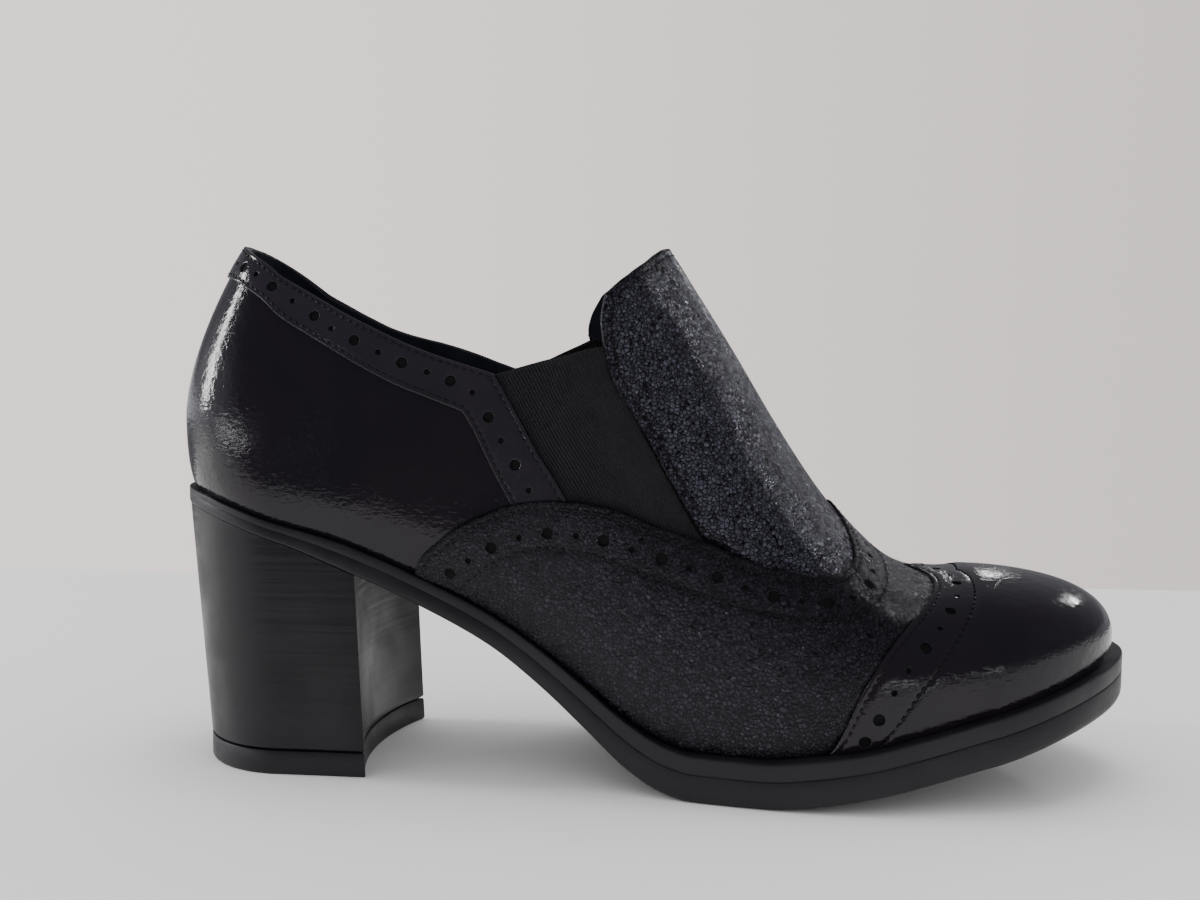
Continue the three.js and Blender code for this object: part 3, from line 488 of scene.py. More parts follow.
bandLow = [(0, 0.614), (0.3, 0.608), (0.45, 0.601), (0.578, 0.592), (0.738, 0.574), (0.908, 0.548), (1.008, 0.517),
           (1.041, 0.489), (1.071, 0.459), (1.101, 0.429), (1.128, 0.406), (1.158, 0.388), (1.186, 0.378),
           (1.214, 0.373), (1.241, 0.368), (1.261, 0.365), (1.274, 0.362), (1.284, 0.349), (1.298, 0.325),
           (1.311, 0.3), (1.326, 0.275), (1.344, 0.248), (1.365, 0.218)]  # the band's lower row of stitches
wingTop = [(1.2, 0), (1.206, 0.045), (1.217, 0.085), (1.239, 0.13), (1.266, 0.17), (1.299, 0.202), (1.331, 0.232),
           (1.369, 0.262), (1.406, 0.289), (1.444, 0.314), (1.489, 0.342), (1.536, 0.372), (1.575, 0.394),
           (1.611, 0.408), (1.654, 0.424), (1.694, 0.45), (1.736, 0.487), (1.755, 0.51), (1.773, 0.54),
           (1.788, 0.575), (1.799, 0.613), (1.807, 0.65), (1.811, 0.685), (1.813, 0.72), (1.813, 0.765),
           (1.811, 0.825), (1.807, 0.888), (1.799, 0.95), (1.786, 1)]
capBack = [(1.774, 0), (1.795, 0.12), (1.812, 0.208), (1.832, 0.295), (1.852, 0.379), (1.875, 0.475),
           (1.895, 0.56), (1.912, 0.64), (1.926, 0.73), (1.933, 0.8), (1.935, 0.868), (1.926, 0.95), (1.902, 1)]
medialTongue = np.array([  # girth, how far the tongue reaches back on the medial side
    (0.415, 0), (0.5, -0.035), (0.541, -0.047), (0.566, -0.042), (0.583, -0.036), (0.605, -0.031), (0.643, -0.019),
    (0.672, -0.012), (0.72, 0)])
seamPath = [(1.36, 0), (1.4, 0.12), (1.43, 0.285)]  # where the quarters end under the wing
capAt = curveThrough(np.array([row[1] for row in capBack]), np.array([row[0] for row in capBack]))


def laid(path, lay, side):
    # a table's places on the flat; the rear of the medial side lies lower than that of the lateral side
    path = np.asarray(path, float)
    drop = np.interp(path[:, 0], *medialDrop.T) if lay is rearFlat and side == medial else 0
    return lay(path[:, 0], path[:, 1] + drop, side)


def onSide(path, lay, side):
    return smoothed(laid(path, lay, side))


def foreSide(path, side):
    return onSide(path, foreFlat, side)


def overMiddle(path, lay):
    # a path that starts on the shoe's middle, mirrored so that it runs from medial to lateral
    return smoothed(np.vstack([laid(path, lay, medial)[::-1], laid(path, lay, lateral)[1:]]))


def soleLine(stations, side):
    # a panel's lower edge, along the sole
    return resampled(foreFlat(stations, 0, side))


def tongueSide(path, side):
    # a path of the tongue on one side, on the flat
    path = np.array(path, float)
    if side == medial:
        path[:, 0] += np.interp(path[:, 1], *medialTongue.T)
    return foreSide(path, side)


def tip(path, move):
    # the path with its stations moved on
    return [(station + move, girth) for station, girth in path]


# Nodes: an input takes a value, a socket, or another node, whose first output is then meant
def feed(made, inputs):
    for key, value in inputs.items():
        if isinstance(value, bpy.types.Node):
            value = value.outputs[0]
        if isinstance(value, bpy.types.NodeSocket):
            made.id_data.links.new(value, made.inputs[key])
        else:
            made.inputs[key].default_value = value
    return made


def node(tree, kind, inputs={}, **settings):
    made = tree.nodes.new(kind)
    for key, value in settings.items():
        setattr(made, key, value)
    return feed(made, inputs)


def nodeGroup(name, kind, inputs, outputs, build):
    # build takes the tree and its inputs, and returns what the outputs show
    tree = bpy.data.node_groups.new(name, kind)
    for way, sockets in (("INPUT", inputs), ("OUTPUT", outputs)):
        for label, socket in sockets.items():
            tree.interface.new_socket(label, in_out=way, socket_type="NodeSocket" + socket)
    given = tree.nodes.new("NodeGroupInput").outputs
    feed(tree.nodes.new("NodeGroupOutput"), build(tree, given))
    return tree


def ranged(tree, value, low, high, first=0, second=1, kind="LINEAR"):
    return node(tree, "ShaderNodeMapRange", {
        "Value": value, "From Min": low, "From Max": high, "To Min": first, "To Max": second}, interpolation_type=kind)


def noise(tree, place, scale, detail=2, distortion=0):
    return node(tree, "ShaderNodeTexNoise", {
        "Vector": place, "Scale": scale, "Detail": detail, "Distortion": distortion})


def maths(tree, operation, first, second):
    return node(tree, "ShaderNodeMath", {0: first, 1: second}, operation=operation)


def mixed(tree, factor, first, second):
    return node(tree, "ShaderNodeMix", {0: factor, 6: (*first, 1), 7: (*second, 1)}, data_type="RGBA").outputs[2]


def bumped(tree, height, strength, distance, before=None):
    under = {} if before is None else {"Normal": before}
    return node(tree, "ShaderNodeBump", {"Height": height, "Strength": strength, "Distance": distance, **under})


# Effects that several materials share
def buildMottle(tree, given):
    # soft blotches, for tone and polish
    blotches = noise(tree, given["Place"], given["Scale"], 4)
    return {"Value": ranged(tree, blotches, 0.35, 0.65, given["Low"], given["High"])}


def buildCrackle(tree, given):
    # raised cells with dark creases between them, at two sizes, on a warped place
    warp = noise(tree, given["Place"], 500).outputs["Color"]
    place = node(tree, "ShaderNodeVectorMath", {0: warp, 1: (0.0006,) * 3, 2: given["Place"]},
                 operation="MULTIPLY_ADD")
    coarse, fine = [
        node(tree, "ShaderNodeTexVoronoi", {"Vector": place, "Scale": scale}, feature="DISTANCE_TO_EDGE")
        for scale in (given["Scale"], maths(tree, "MULTIPLY", given["Scale"], 2.1))]
    tone = node(tree, "ShaderNodeTexVoronoi", {"Vector": place, "Scale": given["Scale"]}, feature="F1").outputs["Color"]
    height = maths(tree, "MULTIPLY", ranged(tree, coarse, 0, 0.22, kind="SMOOTHSTEP"),
                   ranged(tree, fine, 0, 0.16, 0.45, 1, "SMOOTHSTEP"))
    return {"Height": height, "Tone": node(tree, "ShaderNodeSeparateColor", {"Color": tone}),
            "Tilt": node(tree, "ShaderNodeVectorMath", {0: tone, 1: (0.5,) * 3}, operation="SUBTRACT")}


mottle = nodeGroup("mottle", "ShaderNodeTree", {"Place": "Vector", "Scale": "Float", "Low": "Float", "High": "Float"},
                   {"Value": "Float"}, buildMottle)
crackle = nodeGroup("crackle", "ShaderNodeTree", {"Place": "Vector", "Scale": "Float"},
                    {"Height": "Float", "Tone": "Float", "Tilt": "Vector"}, buildCrackle)


def blotched(tree, place, scale, low=0, high=1):
    return node(tree, "ShaderNodeGroup", {"Place": place, "Scale": scale, "Low": low, "High": high}, node_tree=mottle)


def newMaterial(name, colour):
    material = bpy.data.materials.new(name)
    material.use_nodes = True
    material.diffuse_color = (*colour, 1)
    tree = material.node_tree
    shader = feed(tree.nodes["Principled BSDF"], {"Base Color": (*colour, 1)})
    return material, tree, shader, node(tree, "ShaderNodeTexCoord").outputs["Object"]


def mottledMaterial(name, colours, scale, polish, relief, settings):
    # tone and polish change in soft blotches, and relief makes the bumps
    material, tree, shader, place = newMaterial(name, colours[0])
    bump = relief(tree, place)
    feed(shader, {"Base Color": mixed(tree, blotched(tree, place, scale), *colours),
                  "Roughness": blotched(tree, place, *polish), "Normal": bump, **settings})
    if "Coat Weight" in settings:
        feed(shader, {"Coat Normal": bump})
    return material


patent = {
    "colours": ((0.0062, 0.0056, 0.0082), (0.0098, 0.007, 0.0098)),
    # the band takes the same patent in lighter colours: a painted reflection of the pale room that the band mirrors
    "litBandColours": ((0.0125, 0.0115, 0.015), (0.0165, 0.014, 0.018)),
    "blotch": 35, "polish": (120, 0.05, 0.16), "coat": 0.2, "specular": 0.24,
    "swell": 70, "swellDepth": 0.0006, "crinkle": 700, "crinkleDepth": 0.00021,
    "strokeTurn": (0, 0.6, 0.3), "strokeScale": (300, 300, 1500), "strokeDepth": 0.0001,
}


def patentRelief(tree, place):
    # slow swells, a fine crinkle and slanting strokes
    slanted = node(tree, "ShaderNodeMapping", {
        "Vector": place, "Rotation": patent["strokeTurn"], "Scale": patent["strokeScale"]})
    swell = bumped(tree, noise(tree, place, patent["swell"]), 0.5, patent["swellDepth"])
    crinkle = bumped(tree, noise(tree, place, patent["crinkle"], 5, 0.6), 0.5, patent["crinkleDepth"], swell)
    return bumped(tree, noise(tree, slanted, 1), 0.5, patent["strokeDepth"], crinkle)


def patentMaterial(name, colours):
    return mottledMaterial(name, colours, patent["blotch"], patent["polish"], patentRelief,
                           {"Coat Weight": patent["coat"], "Specular IOR Level": patent["specular"]})


grained = {
    "silver": {"crease": (0.004, 0.004, 0.006), "crest": (0.245, 0.24, 0.315), "tilt": 0.42},
    # the wing's copy of the same crackled leather, painted darker than the tongue's as painted shade
    "shadedWing": {"crease": (0.008, 0.0075, 0.01), "crest": (0.07, 0.062, 0.086), "tilt": 0.16},
    # the crests keep the share given below of their tone under the full painted shade near edges, holes and stitch
    # grooves
    "scale": 1000, "depth": 0.0003, "toneFrom": 0.25, "leastTone": 0.45, "pressShadeTone": 0.3, "polish": (400, 0.2, 0.4),
    "metallic": 0.9, "specular": 0.3, "coat": 0.3, "coatRoughness": 0.09, "glossScale": 1400, "glossDepth": 0.00045,
}


def grainedMaterial(name, tone):
    material, tree, shader, place = newMaterial(name, tone["crest"])
    cells = node(tree, "ShaderNodeGroup", {"Place": place, "Scale": grained["scale"]}, node_tree=crackle).outputs
    sparkle = maths(tree, "MULTIPLY", cells["Height"],
                    ranged(tree, cells["Tone"], grained["toneFrom"], 1, grained["leastTone"]))
    # painted shade with the pressed leather: the crests turn darker near edges, holes and stitch grooves, by the value
    # each panel keeps at its points
    shadedPress = node(tree, "ShaderNodeAttribute", attribute_name="pressAndShade").outputs["Fac"]
    toneAndShade = maths(tree, "MULTIPLY", sparkle, ranged(tree, shadedPress, 0, 1, 1, grained["pressShadeTone"]))
    # each cell leans its own way, so that some of them glint
    lean = node(tree, "ShaderNodeVectorMath", {
        0: cells["Tilt"], 1: (tone["tilt"],) * 3, 2: bumped(tree, cells["Height"], 0.9, grained["depth"])},
        operation="MULTIPLY_ADD")
    feed(shader, {
        "Base Color": mixed(tree, toneAndShade, tone["crease"], tone["crest"]),
        "Roughness": blotched(tree, place, *grained["polish"]), "Metallic": grained["metallic"],
        "Specular IOR Level": grained["specular"], "Coat Weight": grained["coat"],
        "Coat Roughness": grained["coatRoughness"],
        "Normal": node(tree, "ShaderNodeVectorMath", {0: lean}, operation="NORMALIZE"),
        "Coat Normal": bumped(tree, noise(tree, place, grained["glossScale"], 3), 0.9, grained["glossDepth"])})
    return material


def plainMaterial(name, first, second, scale, roughness, grain, depth, sheen=0):
    # a dull surface with a little mottle and a fine bump
    return mottledMaterial(name, (first, second), scale, (scale * 2, *roughness),
                           lambda tree, place: bumped(tree, noise(tree, place, grain, 6), 0.6, depth),
                           {"Specular IOR Level": 0.32, "Sheen Weight": sheen})


stacked = {"colours": ((0.0042, 0.0038, 0.0056), (0.007, 0.0062, 0.0088)), "blotch": 50, "polish": (90, 0.3, 0.46),
           "specular": 0.3, "lineScale": (9, 9, 420), "lineDepth": 0.0005}


def stackedRelief(tree, place):
    # the faint level lines of a stacked heel
    stretched = node(tree, "ShaderNodeMapping", {"Vector": place, "Scale": stacked["lineScale"]})
    return bumped(tree, noise(tree, stretched, 1, 3), 0.35, stacked["lineDepth"])


blackPatent = patentMaterial("blackPatent", patent["colours"])
# the band's patent is painted lighter than the quarters' patent, as a painted reflection
litBandPatent = patentMaterial("litBandPatent", patent["litBandColours"])
crackledSilver = grainedMaterial("crackledSilver", grained["silver"])
# the wing uses a copy of the tongue's crackled leather, painted darker as painted shade
shadedWingCrackle = grainedMaterial("shadedWingCrackle", grained["shadedWing"])
stackedHeel = mottledMaterial("stackedHeel", stacked["colours"], stacked["blotch"], stacked["polish"], stackedRelief,
                              {"Specular IOR Level": stacked["specular"]})
# two colours, scale of the blotches, roughness, scale and depth of the bump, sheen
blackElastic, elasticCord, navyLining, blackRubber, blackThread, darkHole = [plainMaterial(*finish) for finish in (
    ("blackElastic", (0.002, 0.002, 0.0025), (0.003, 0.003, 0.004), 300, (0.8, 0.9), 2500, 0.0001),
    # the cords are painted lighter than the elastic between them: a painted highlight on the raised cords
    ("elasticCord", (0.0038, 0.0034, 0.005), (0.0065, 0.006, 0.0085), 300, (0.6, 0.75), 2500, 0.0001, 0.1),
    ("navyLining", (0.007, 0.008, 0.013), (0.012, 0.013, 0.02), 90, (0.55, 0.7), 1500, 0.0001),
    ("blackRubber", (0.0062, 0.0057, 0.0077), (0.0095, 0.0088, 0.0117), 60, (0.36, 0.5), 1400, 0.00008),
    ("blackThread", (0.002, 0.002, 0.0025), (0.004, 0.004, 0.005), 500, (0.42, 0.55), 3000, 0.00005),
    # near-black, painted shade for the disks laid inside the punched holes
    ("darkHole", (0.0015, 0.0015, 0.002), (0.003, 0.003, 0.0035), 300, (0.9, 0.98), 2500, 0.00005))]
print("materials made")


# Geometry Nodes lay what repeats: stitches, the dark disks of painted shade in the holes, and cords
def pathMesh(name, rows, facings):
    # rows of points joined by edges, with the way that each point faces
    mesh = bpy.data.meshes.new(name)
    points, edges = [], []
    for row in rows:
        edges += [(len(points) + k, len(points) + k + 1) for k in range(len(row) - 1)]
        points += placed(row).tolist()
    mesh.from_pydata(points, edges, [])
    facing = mesh.attributes.new("facing", "FLOAT_VECTOR", "POINT")
    facing.data.foreach_set("vector", np.vstack(facings).ravel())
    return linked(name, mesh)


def grown(carrier, tree, values):
    # runs a node tree on the carrier and keeps the result as a plain mesh under the carrier's name
    modifier = carrier.modifiers.new("grow", "NODES")
    modifier.node_group = tree
    for item in tree.interface.items_tree:
        if item.in_out == "INPUT" and item.name in values:
            modifier[item.identifier] = values[item.name]
    graph = bpy.context.evaluated_depsgraph_get()
    mesh = bpy.data.meshes.new_from_object(carrier.evaluated_get(graph))
    mesh.name = name = carrier.name
    bpy.data.objects.remove(carrier)
    return linked(name, mesh)


def realMesh(tree, geometry, material, smooth=False):
    # how each tree ends
    real = node(tree, "GeometryNodeRealizeInstances", {"Geometry": geometry})
    if smooth:
        real = node(tree, "GeometryNodeSetShadeSmooth", {"Geometry": real})
    return node(tree, "GeometryNodeSetMaterial", {"Geometry": real, "Material": material})


def ownValue(tree, name, kind):
    # a value that the carrier keeps at each of its points
    return node(tree, "GeometryNodeInputNamedAttribute", {"Name": name}, data_type=kind)


def buildStitches(tree, given):
    curve = node(tree, "GeometryNodeMeshToCurve", {"Mesh": given["Paths"]})
    even = node(tree, "GeometryNodeResampleCurve", {"Curve": curve, "Length": given["Pitch"]}, mode="LENGTH")
    along = node(tree, "FunctionNodeAlignRotationToVector", {"Vector": node(tree, "GeometryNodeInputTangent")},
                 axis="X")
    upright = node(tree, "FunctionNodeAlignRotationToVector", {
        "Rotation": along, "Vector": ownValue(tree, "facing", "FLOAT_VECTOR")}, axis="Z", pivot_axis="X")
    ball = node(tree, "GeometryNodeMeshUVSphere", {"Segments": 6, "Rings": 5, "Radius": 0.5})
    lying = node(tree, "GeometryNodeTransform", {"Geometry": ball, "Rotation": (0, math.pi / 2, 0)})
    size = node(tree, "ShaderNodeCombineXYZ", {"X": given["Length"], "Y": given["Width"], "Z": given["Height"]})
    stitch = node(tree, "GeometryNodeTransform", {"Geometry": lying, "Scale": size})
    row = node(tree, "GeometryNodeInstanceOnPoints", {"Points": even, "Instance": stitch, "Rotation": upright})
    return {"Stitches": realMesh(tree, row, given["Thread"], smooth=True)}


def buildDisks(tree, given):
    turn = node(tree, "FunctionNodeAlignRotationToVector", {"Vector": ownValue(tree, "facing", "FLOAT_VECTOR")},
                axis="Z")
    disk = node(tree, "GeometryNodeMeshCircle", {"Vertices": 20, "Radius": 1}, fill_type="NGON")
    disks = node(tree, "GeometryNodeInstanceOnPoints", {
        "Points": given["Points"], "Instance": disk, "Rotation": turn, "Scale": ownValue(tree, "size", "FLOAT")})
    return {"Disks": realMesh(tree, disks, given["Dark"])}


def buildRibs(tree, given):
    curve = node(tree, "GeometryNodeMeshToCurve", {"Mesh": given["Paths"]})
    ring = node(tree, "GeometryNodeCurvePrimitiveCircle", {
        "Resolution": 6, "Radius": maths(tree, "MULTIPLY", given["Width"], 0.5)})
    swept = node(tree, "GeometryNodeCurveToMesh", {"Curve": curve, "Profile Curve": ring, "Fill Caps": True})
    return {"Ribs": realMesh(tree, swept, given["Elastic"])}


stitchesOnPath = nodeGroup("stitchesOnPath", "GeometryNodeTree", {
    "Paths": "Geometry", "Pitch": "Float", "Length": "Float", "Width": "Float", "Height": "Float",
    "Thread": "Material"}, {"Stitches": "Geometry"}, buildStitches)
disksOnPoints = nodeGroup("disksOnPoints", "GeometryNodeTree", {"Points": "Geometry", "Dark": "Material"},
                          {"Disks": "Geometry"}, buildDisks)
ribsOnPath = nodeGroup("ribsOnPath", "GeometryNodeTree", {"Paths": "Geometry", "Width": "Float", "Elastic": "Material"},
                       {"Ribs": "Geometry"}, buildRibs)
thread = {"pitch": 2.0, "length": 1.3, "width": 0.55, "height": 0.42, "sunk": 0.1, "pathStep": 0.5}
punch = {"underlap": 0.15, "fine": 0.8, "fineCorners": 14, "corners": 20}


def sewn(name, rows, toPlace, face, slot):
    # rows of stitches on flat paths, sunk a little into the leather's face
    places = [toPlace(resampled(row, thread["pathStep"])) for row in rows]
    carrier = pathMesh(name, [skin(*place, face - thread["sunk"]) for place in places],
                       [faceNormal(*place) for place in places])
    sizes = {label: thread[label.lower()] * mm for label in ("Pitch", "Length", "Width", "Height")}
    return finishPiece(grown(carrier, stitchesOnPath, {**sizes, "Thread": blackThread}), slot)


def holeShadeDisks(name, spots, toPlace, height, slot):
    # a dark disk under each punched hole: painted shade in place of the shade inside the hole
    place = toPlace(np.array([centre for centre, radius in spots]))
    carrier = pathMesh(name, [skin(*place, height)], [faceNormal(*place)])
    size = carrier.data.attributes.new("size", "FLOAT", "POINT")
    size.data.foreach_set("value", [(radius + punch["underlap"]) * mm for centre, radius in spots])
    return finishPiece(grown(carrier, disksOnPoints, {"Dark": darkHole}), slot)


def punched(table, sizes, lay, middle):
    # the holes of both sides: flat place and radius; one on the middle is cut once
    spots = []
    for size, station, girth in table:
        onMiddle = station == 0 if middle == "heel" else girth == 1
        for side in (lateral,) if onMiddle else (lateral, medial):
            spots.append((laid([(station, girth)], lay, side)[0], sizes[size]))
    return spots


def holeLoops(spots, toPlace):
    return [holeLoop(centre, radius, toPlace, punch["fineCorners"] if radius < punch["fine"] else punch["corners"])
            for centre, radius in spots]


# Quarters: the patent leather round the heel, and its lining
quarters = {"inner": -1.0, "outer": 0.0, "lining": -1.8, "wave": 0.12, "front": seamPath[0][0], "liningMesh": 2.4}
collarEdge = overMiddle(topLine, rearFlat)
goreSides = {side: onSide(goreBack, rearFlat, side) for side in (lateral, medial)}
rearOutline = lined(
    resampled(rearFlat([quarters["front"], 0, quarters["front"]], 0, [lateral, lateral, medial])),
    onSide(seamPath, rearFlat, medial), onSide(goreBack[::-1], rearFlat, medial), collarEdge,
    goreSides[lateral], onSide(seamPath[::-1], rearFlat, lateral))
quarterPiece = leatherPanel("quarters", rearOutline, rearPlace, quarters["inner"], quarters["outer"], blackPatent,
                            wave=quarters["wave"])
finishPiece(quarterPiece, "patent", "upper")
rearLining = leatherPanel("rearLining", rearOutline, rearPlace, quarters["lining"], quarters["inner"], navyLining,
                          spacing=quarters["liningMesh"])
finishPiece(rearLining, "lining")
print("quarters made")

# Collar band, punched and sewn
band = {"inner": 0.02, "outer": 0.8, "wave": 0.06, "holes": {1: 1.3, 0: 0.7}, "holeShadeHeight": 0.3,
        "hem": 1.1, "topRow": 1.15, "goreRow": 1.3}
bandHoles = [  # size, station, girth
    (1, 0.0, 0.648), (0, 0.155, 0.647), (1, 0.31, 0.643), (0, 0.465, 0.634), (1, 0.62, 0.619), (0, 0.79, 0.601),
    (1, 0.95, 0.575), (0, 1.023, 0.548), (1, 1.058, 0.511), (0, 1.085, 0.477), (1, 1.119, 0.448),
    (0, 1.153, 0.426), (1, 1.186, 0.414), (0, 1.221, 0.408), (1, 1.254, 0.402), (0, 1.285, 0.393),
    (1, 1.308, 0.361), (0, 1.326, 0.332), (1, 1.346, 0.304), (0, 1.366, 0.277)]
bandSpots = punched(bandHoles, band["holes"], rearFlat, "heel")
bandRow = overMiddle(bandLow, rearFlat)
bandEdge = besidePath(bandRow, -band["hem"], rearPlace)[::-1]


def joined(first, second):
    return resampled(np.vstack([first[-1], second[0]]), 1.0)


medialGore = goreSides[medial][::-1]
bandOutline = lined(bandEdge, joined(bandEdge, medialGore), medialGore, collarEdge,
                    goreSides[lateral], joined(goreSides[lateral], bandEdge))
bandRows = [bandRow[2:-2], besidePath(collarEdge, -band["topRow"], rearPlace)[1:-1]] + [
    besidePath(goreSides[side], band["goreRow"] * side, rearPlace)[1:-2] for side in (lateral, medial)]
bandPiece = leatherPanel("collarBand", bandOutline, rearPlace, band["inner"], band["outer"], litBandPatent,
                         holes=holeLoops(bandSpots, rearPlace), grooves=bandRows, wave=band["wave"])
finishPiece(bandPiece, "patent", "collar_band")
sewn("collarStitches", bandRows, rearPlace, band["outer"], "patent")
holeShadeDisks("collarHoles", bandSpots, rearPlace, band["holeShadeHeight"], "patent")
print("collar band made")

# Tongue cover and the lining under the forefoot
tongue = {"inner": -1.0, "outer": 0.75, "lining": -1.8, "edgeRow": 2.2, "tuck": 0.024}
tuckedEdge = tip([row for row in wingTop if row[0] > 1.62 or row[1] > 0.7], tongue["tuck"])
tongueEdge = np.vstack([
    tongueSide(tongueBack[::-1], lateral), tongueSide(tongueTop, lateral)[1:],
    tongueSide(tongueTop[::-1], medial)[1:], tongueSide(tongueBack, medial)[1:]])
tongueOutline = lined(tongueEdge, foreSide(tuckedEdge, medial), foreSide(tuckedEdge[::-1], lateral))[::-1]
tongueRows = [besidePath(smoothed(tongueEdge), -tongue["edgeRow"], forePlace)[4:-4]]
tonguePiece = leatherPanel("tongueCover", tongueOutline, forePlace, tongue["inner"], tongue["outer"], crackledSilver,
                           grooves=tongueRows)
finishPiece(tonguePiece, "grained", "tongue")
sewn("tongueStitches", tongueRows, forePlace, tongue["outer"], "grained")
toeRound = np.linspace(3, seamPath[0][0], 90)
tongueCorner = [(1.466, 0.632), (1.461, 0.59), (1.466, 0.55)]
goreFoot = [goreFront[-1], goreBack[-1]]
foreOutline = lined(
    tongueSide(tongueTop[::-1], lateral), tongueSide(tongueCorner, lateral), foreSide(goreFront, lateral),
    foreSide(goreFoot, lateral), foreSide(seamPath[::-1], lateral),
    soleLine(toeRound[::-1], lateral), soleLine(toeRound, medial),
    foreSide(seamPath, medial), foreSide(goreFoot[::-1], medial),
    foreSide(goreFront[::-1], medial), tongueSide(tongueCorner[::-1], medial), tongueSide(tongueTop, medial))
foreLining = leatherPanel("foreLining", foreOutline, forePlace, tongue["lining"], tongue["inner"], navyLining,
                          spacing=quarters["liningMesh"])
finishPiece(foreLining, "lining")
print("tongue and lining made")

# Wing of the vamp
wing = {"inner": 0.03, "outer": 1.5, "holes": {2: 1.3, 1: 0.9, 0: 0.65}, "holeShadeHeight": 1.0, "topRow": 2.0,
        "tuck": 0.02, "skive": 0.8, "skiveWidth": 0.7, "skiveStart": 0.6}
wingHoles = [
    (2, 1.254, 0.066), (0, 1.281, 0.116), (2, 1.314, 0.16), (0, 1.354, 0.198), (2, 1.394, 0.232), (0, 1.434, 0.26),
    (2, 1.471, 0.284), (0, 1.509, 0.308), (2, 1.549, 0.334), (0, 1.586, 0.351), (2, 1.624, 0.363), (0, 1.661, 0.377),
    (2, 1.699, 0.398), (0, 1.736, 0.422), (2, 1.771, 0.457), (0, 1.804, 0.518), (2, 1.829, 0.613), (0, 1.837, 0.695),
    (1, 1.837, 0.788), (0, 1.836, 0.87), (1, 1.83, 1)]
wingRowLow = [(1.266, 0.026), (1.279, 0.064), (1.306, 0.12), (1.336, 0.158), (1.369, 0.19), (1.411, 0.221),
              (1.449, 0.246), (1.486, 0.267), (1.519, 0.286), (1.561, 0.308), (1.609, 0.323), (1.654, 0.339),
              (1.711, 0.366), (1.754, 0.396), (1.789, 0.434), (1.817, 0.487), (1.839, 0.563), (1.855, 0.66),
              (1.86, 0.76), (1.86, 0.88), (1.852, 1)]
wingSpots = punched(wingHoles, wing["holes"], foreFlat, "ridge")
capTuck = tip(capBack, wing["tuck"])
wingFoot = wingTop[0][0], capTuck[0][0]
wingOutline = lined(
    foreSide(wingTop[::-1], lateral), soleLine(np.linspace(*wingFoot, 60), lateral), foreSide(capTuck, lateral),
    foreSide(capTuck[::-1], medial), soleLine(np.linspace(*wingFoot[::-1], 60), medial), foreSide(wingTop, medial))
wingRows = [besidePath(foreSide(wingTop, side), wing["topRow"] * side, forePlace)[2:-2] for side in (lateral, medial)]
wingRows += [foreSide(wingRowLow, side) for side in (lateral, medial)]


def underCap(spots):
    # the wing is pared down where it goes under the cap
    station, girth, side = forePlace(spots)
    past = np.clip((station - capAt(girth)) * axisSpan / wing["skiveWidth"] + wing["skiveStart"], 0, 1)
    return -wing["skive"] * past * past * (3 - 2 * past)


wingPiece = leatherPanel("vampWing", wingOutline, forePlace, wing["inner"], wing["outer"], shadedWingCrackle,
                         holes=holeLoops(wingSpots, forePlace), grooves=wingRows, shape=underCap)
finishPiece(wingPiece, "grained", "vamp_wing")
holeShadeDisks("wingHoles", wingSpots, forePlace, wing["holeShadeHeight"], "grained")
sewn("wingStitches", wingRows, forePlace, wing["outer"], "grained")
print("wing made")

# Toe cap
cap = {"inner": 0.72, "outer": 1.95, "wave": 0.05, "holes": {1: 1.3, 0: 0.65}, "holeShadeHeight": 1.35, "backRow": 1.5}
capHoles = [
    (1, 1.82, 0.05), (1, 1.837, 0.134), (0, 1.856, 0.215), (0, 1.875, 0.3), (1, 1.9, 0.395), (0, 1.923, 0.495),
    (1, 1.943, 0.6), (0, 1.959, 0.705), (1, 1.967, 0.82), (0, 1.965, 0.91), (1, 1.952, 1)]
capRowFront = [(1.842, 0.01), (1.86, 0.09), (1.887, 0.188), (1.91, 0.27), (1.929, 0.351), (1.949, 0.45),
               (1.965, 0.543), (1.982, 0.671), (1.991, 0.8), (1.992, 0.9), (1.985, 1)]
capSpots = punched(capHoles, cap["holes"], foreFlat, "ridge")
toeEnd = np.linspace(capBack[0][0], 3, 110)
capOutline = lined(
    foreSide(capBack[::-1], lateral), soleLine(toeEnd, lateral), soleLine(toeEnd[::-1], medial),
    foreSide(capBack, medial))
capRows = [besidePath(foreSide(capBack, side), cap["backRow"] * side, forePlace)[1:-1] for side in (lateral, medial)]
capRows += [foreSide(capRowFront, side) for side in (lateral, medial)]
capPiece = leatherPanel("toeCap", capOutline, forePlace, cap["inner"], cap["outer"], blackPatent,
                        holes=holeLoops(capSpots, forePlace), grooves=capRows, wave=cap["wave"])
finishPiece(capPiece, "patent", "toe_cap")
holeShadeDisks("capHoles", capSpots, forePlace, cap["holeShadeHeight"], "patent")
sewn("capStitches", capRows, forePlace, cap["outer"], "patent")
print("toe cap made")

# Elastic gores: a band with a rib along each of its cords
gore = {"inner": -1.35, "outer": -0.45, "ribs": 34, "ribWidth": 0.62, "ribSteps": 50, "rise": 0.035, "seam": 0.04}


def gorePoint(across, down, side):
    # across goes from the back edge to the front one, down counts the rows of both edge tables
    rows = np.arange(len(goreBack))
    back, front = [[np.interp(down, rows, [row[k] for row in edge]) for k in (0, 1)] for edge in (goreBack, goreFront)]
    if side == medial:
        front[1] = front[1] + gore["rise"] * np.clip(1 - down, 0, 1)
    return back[0] + (front[0] - back[0]) * across, back[1] + (front[1] - back[1]) * across


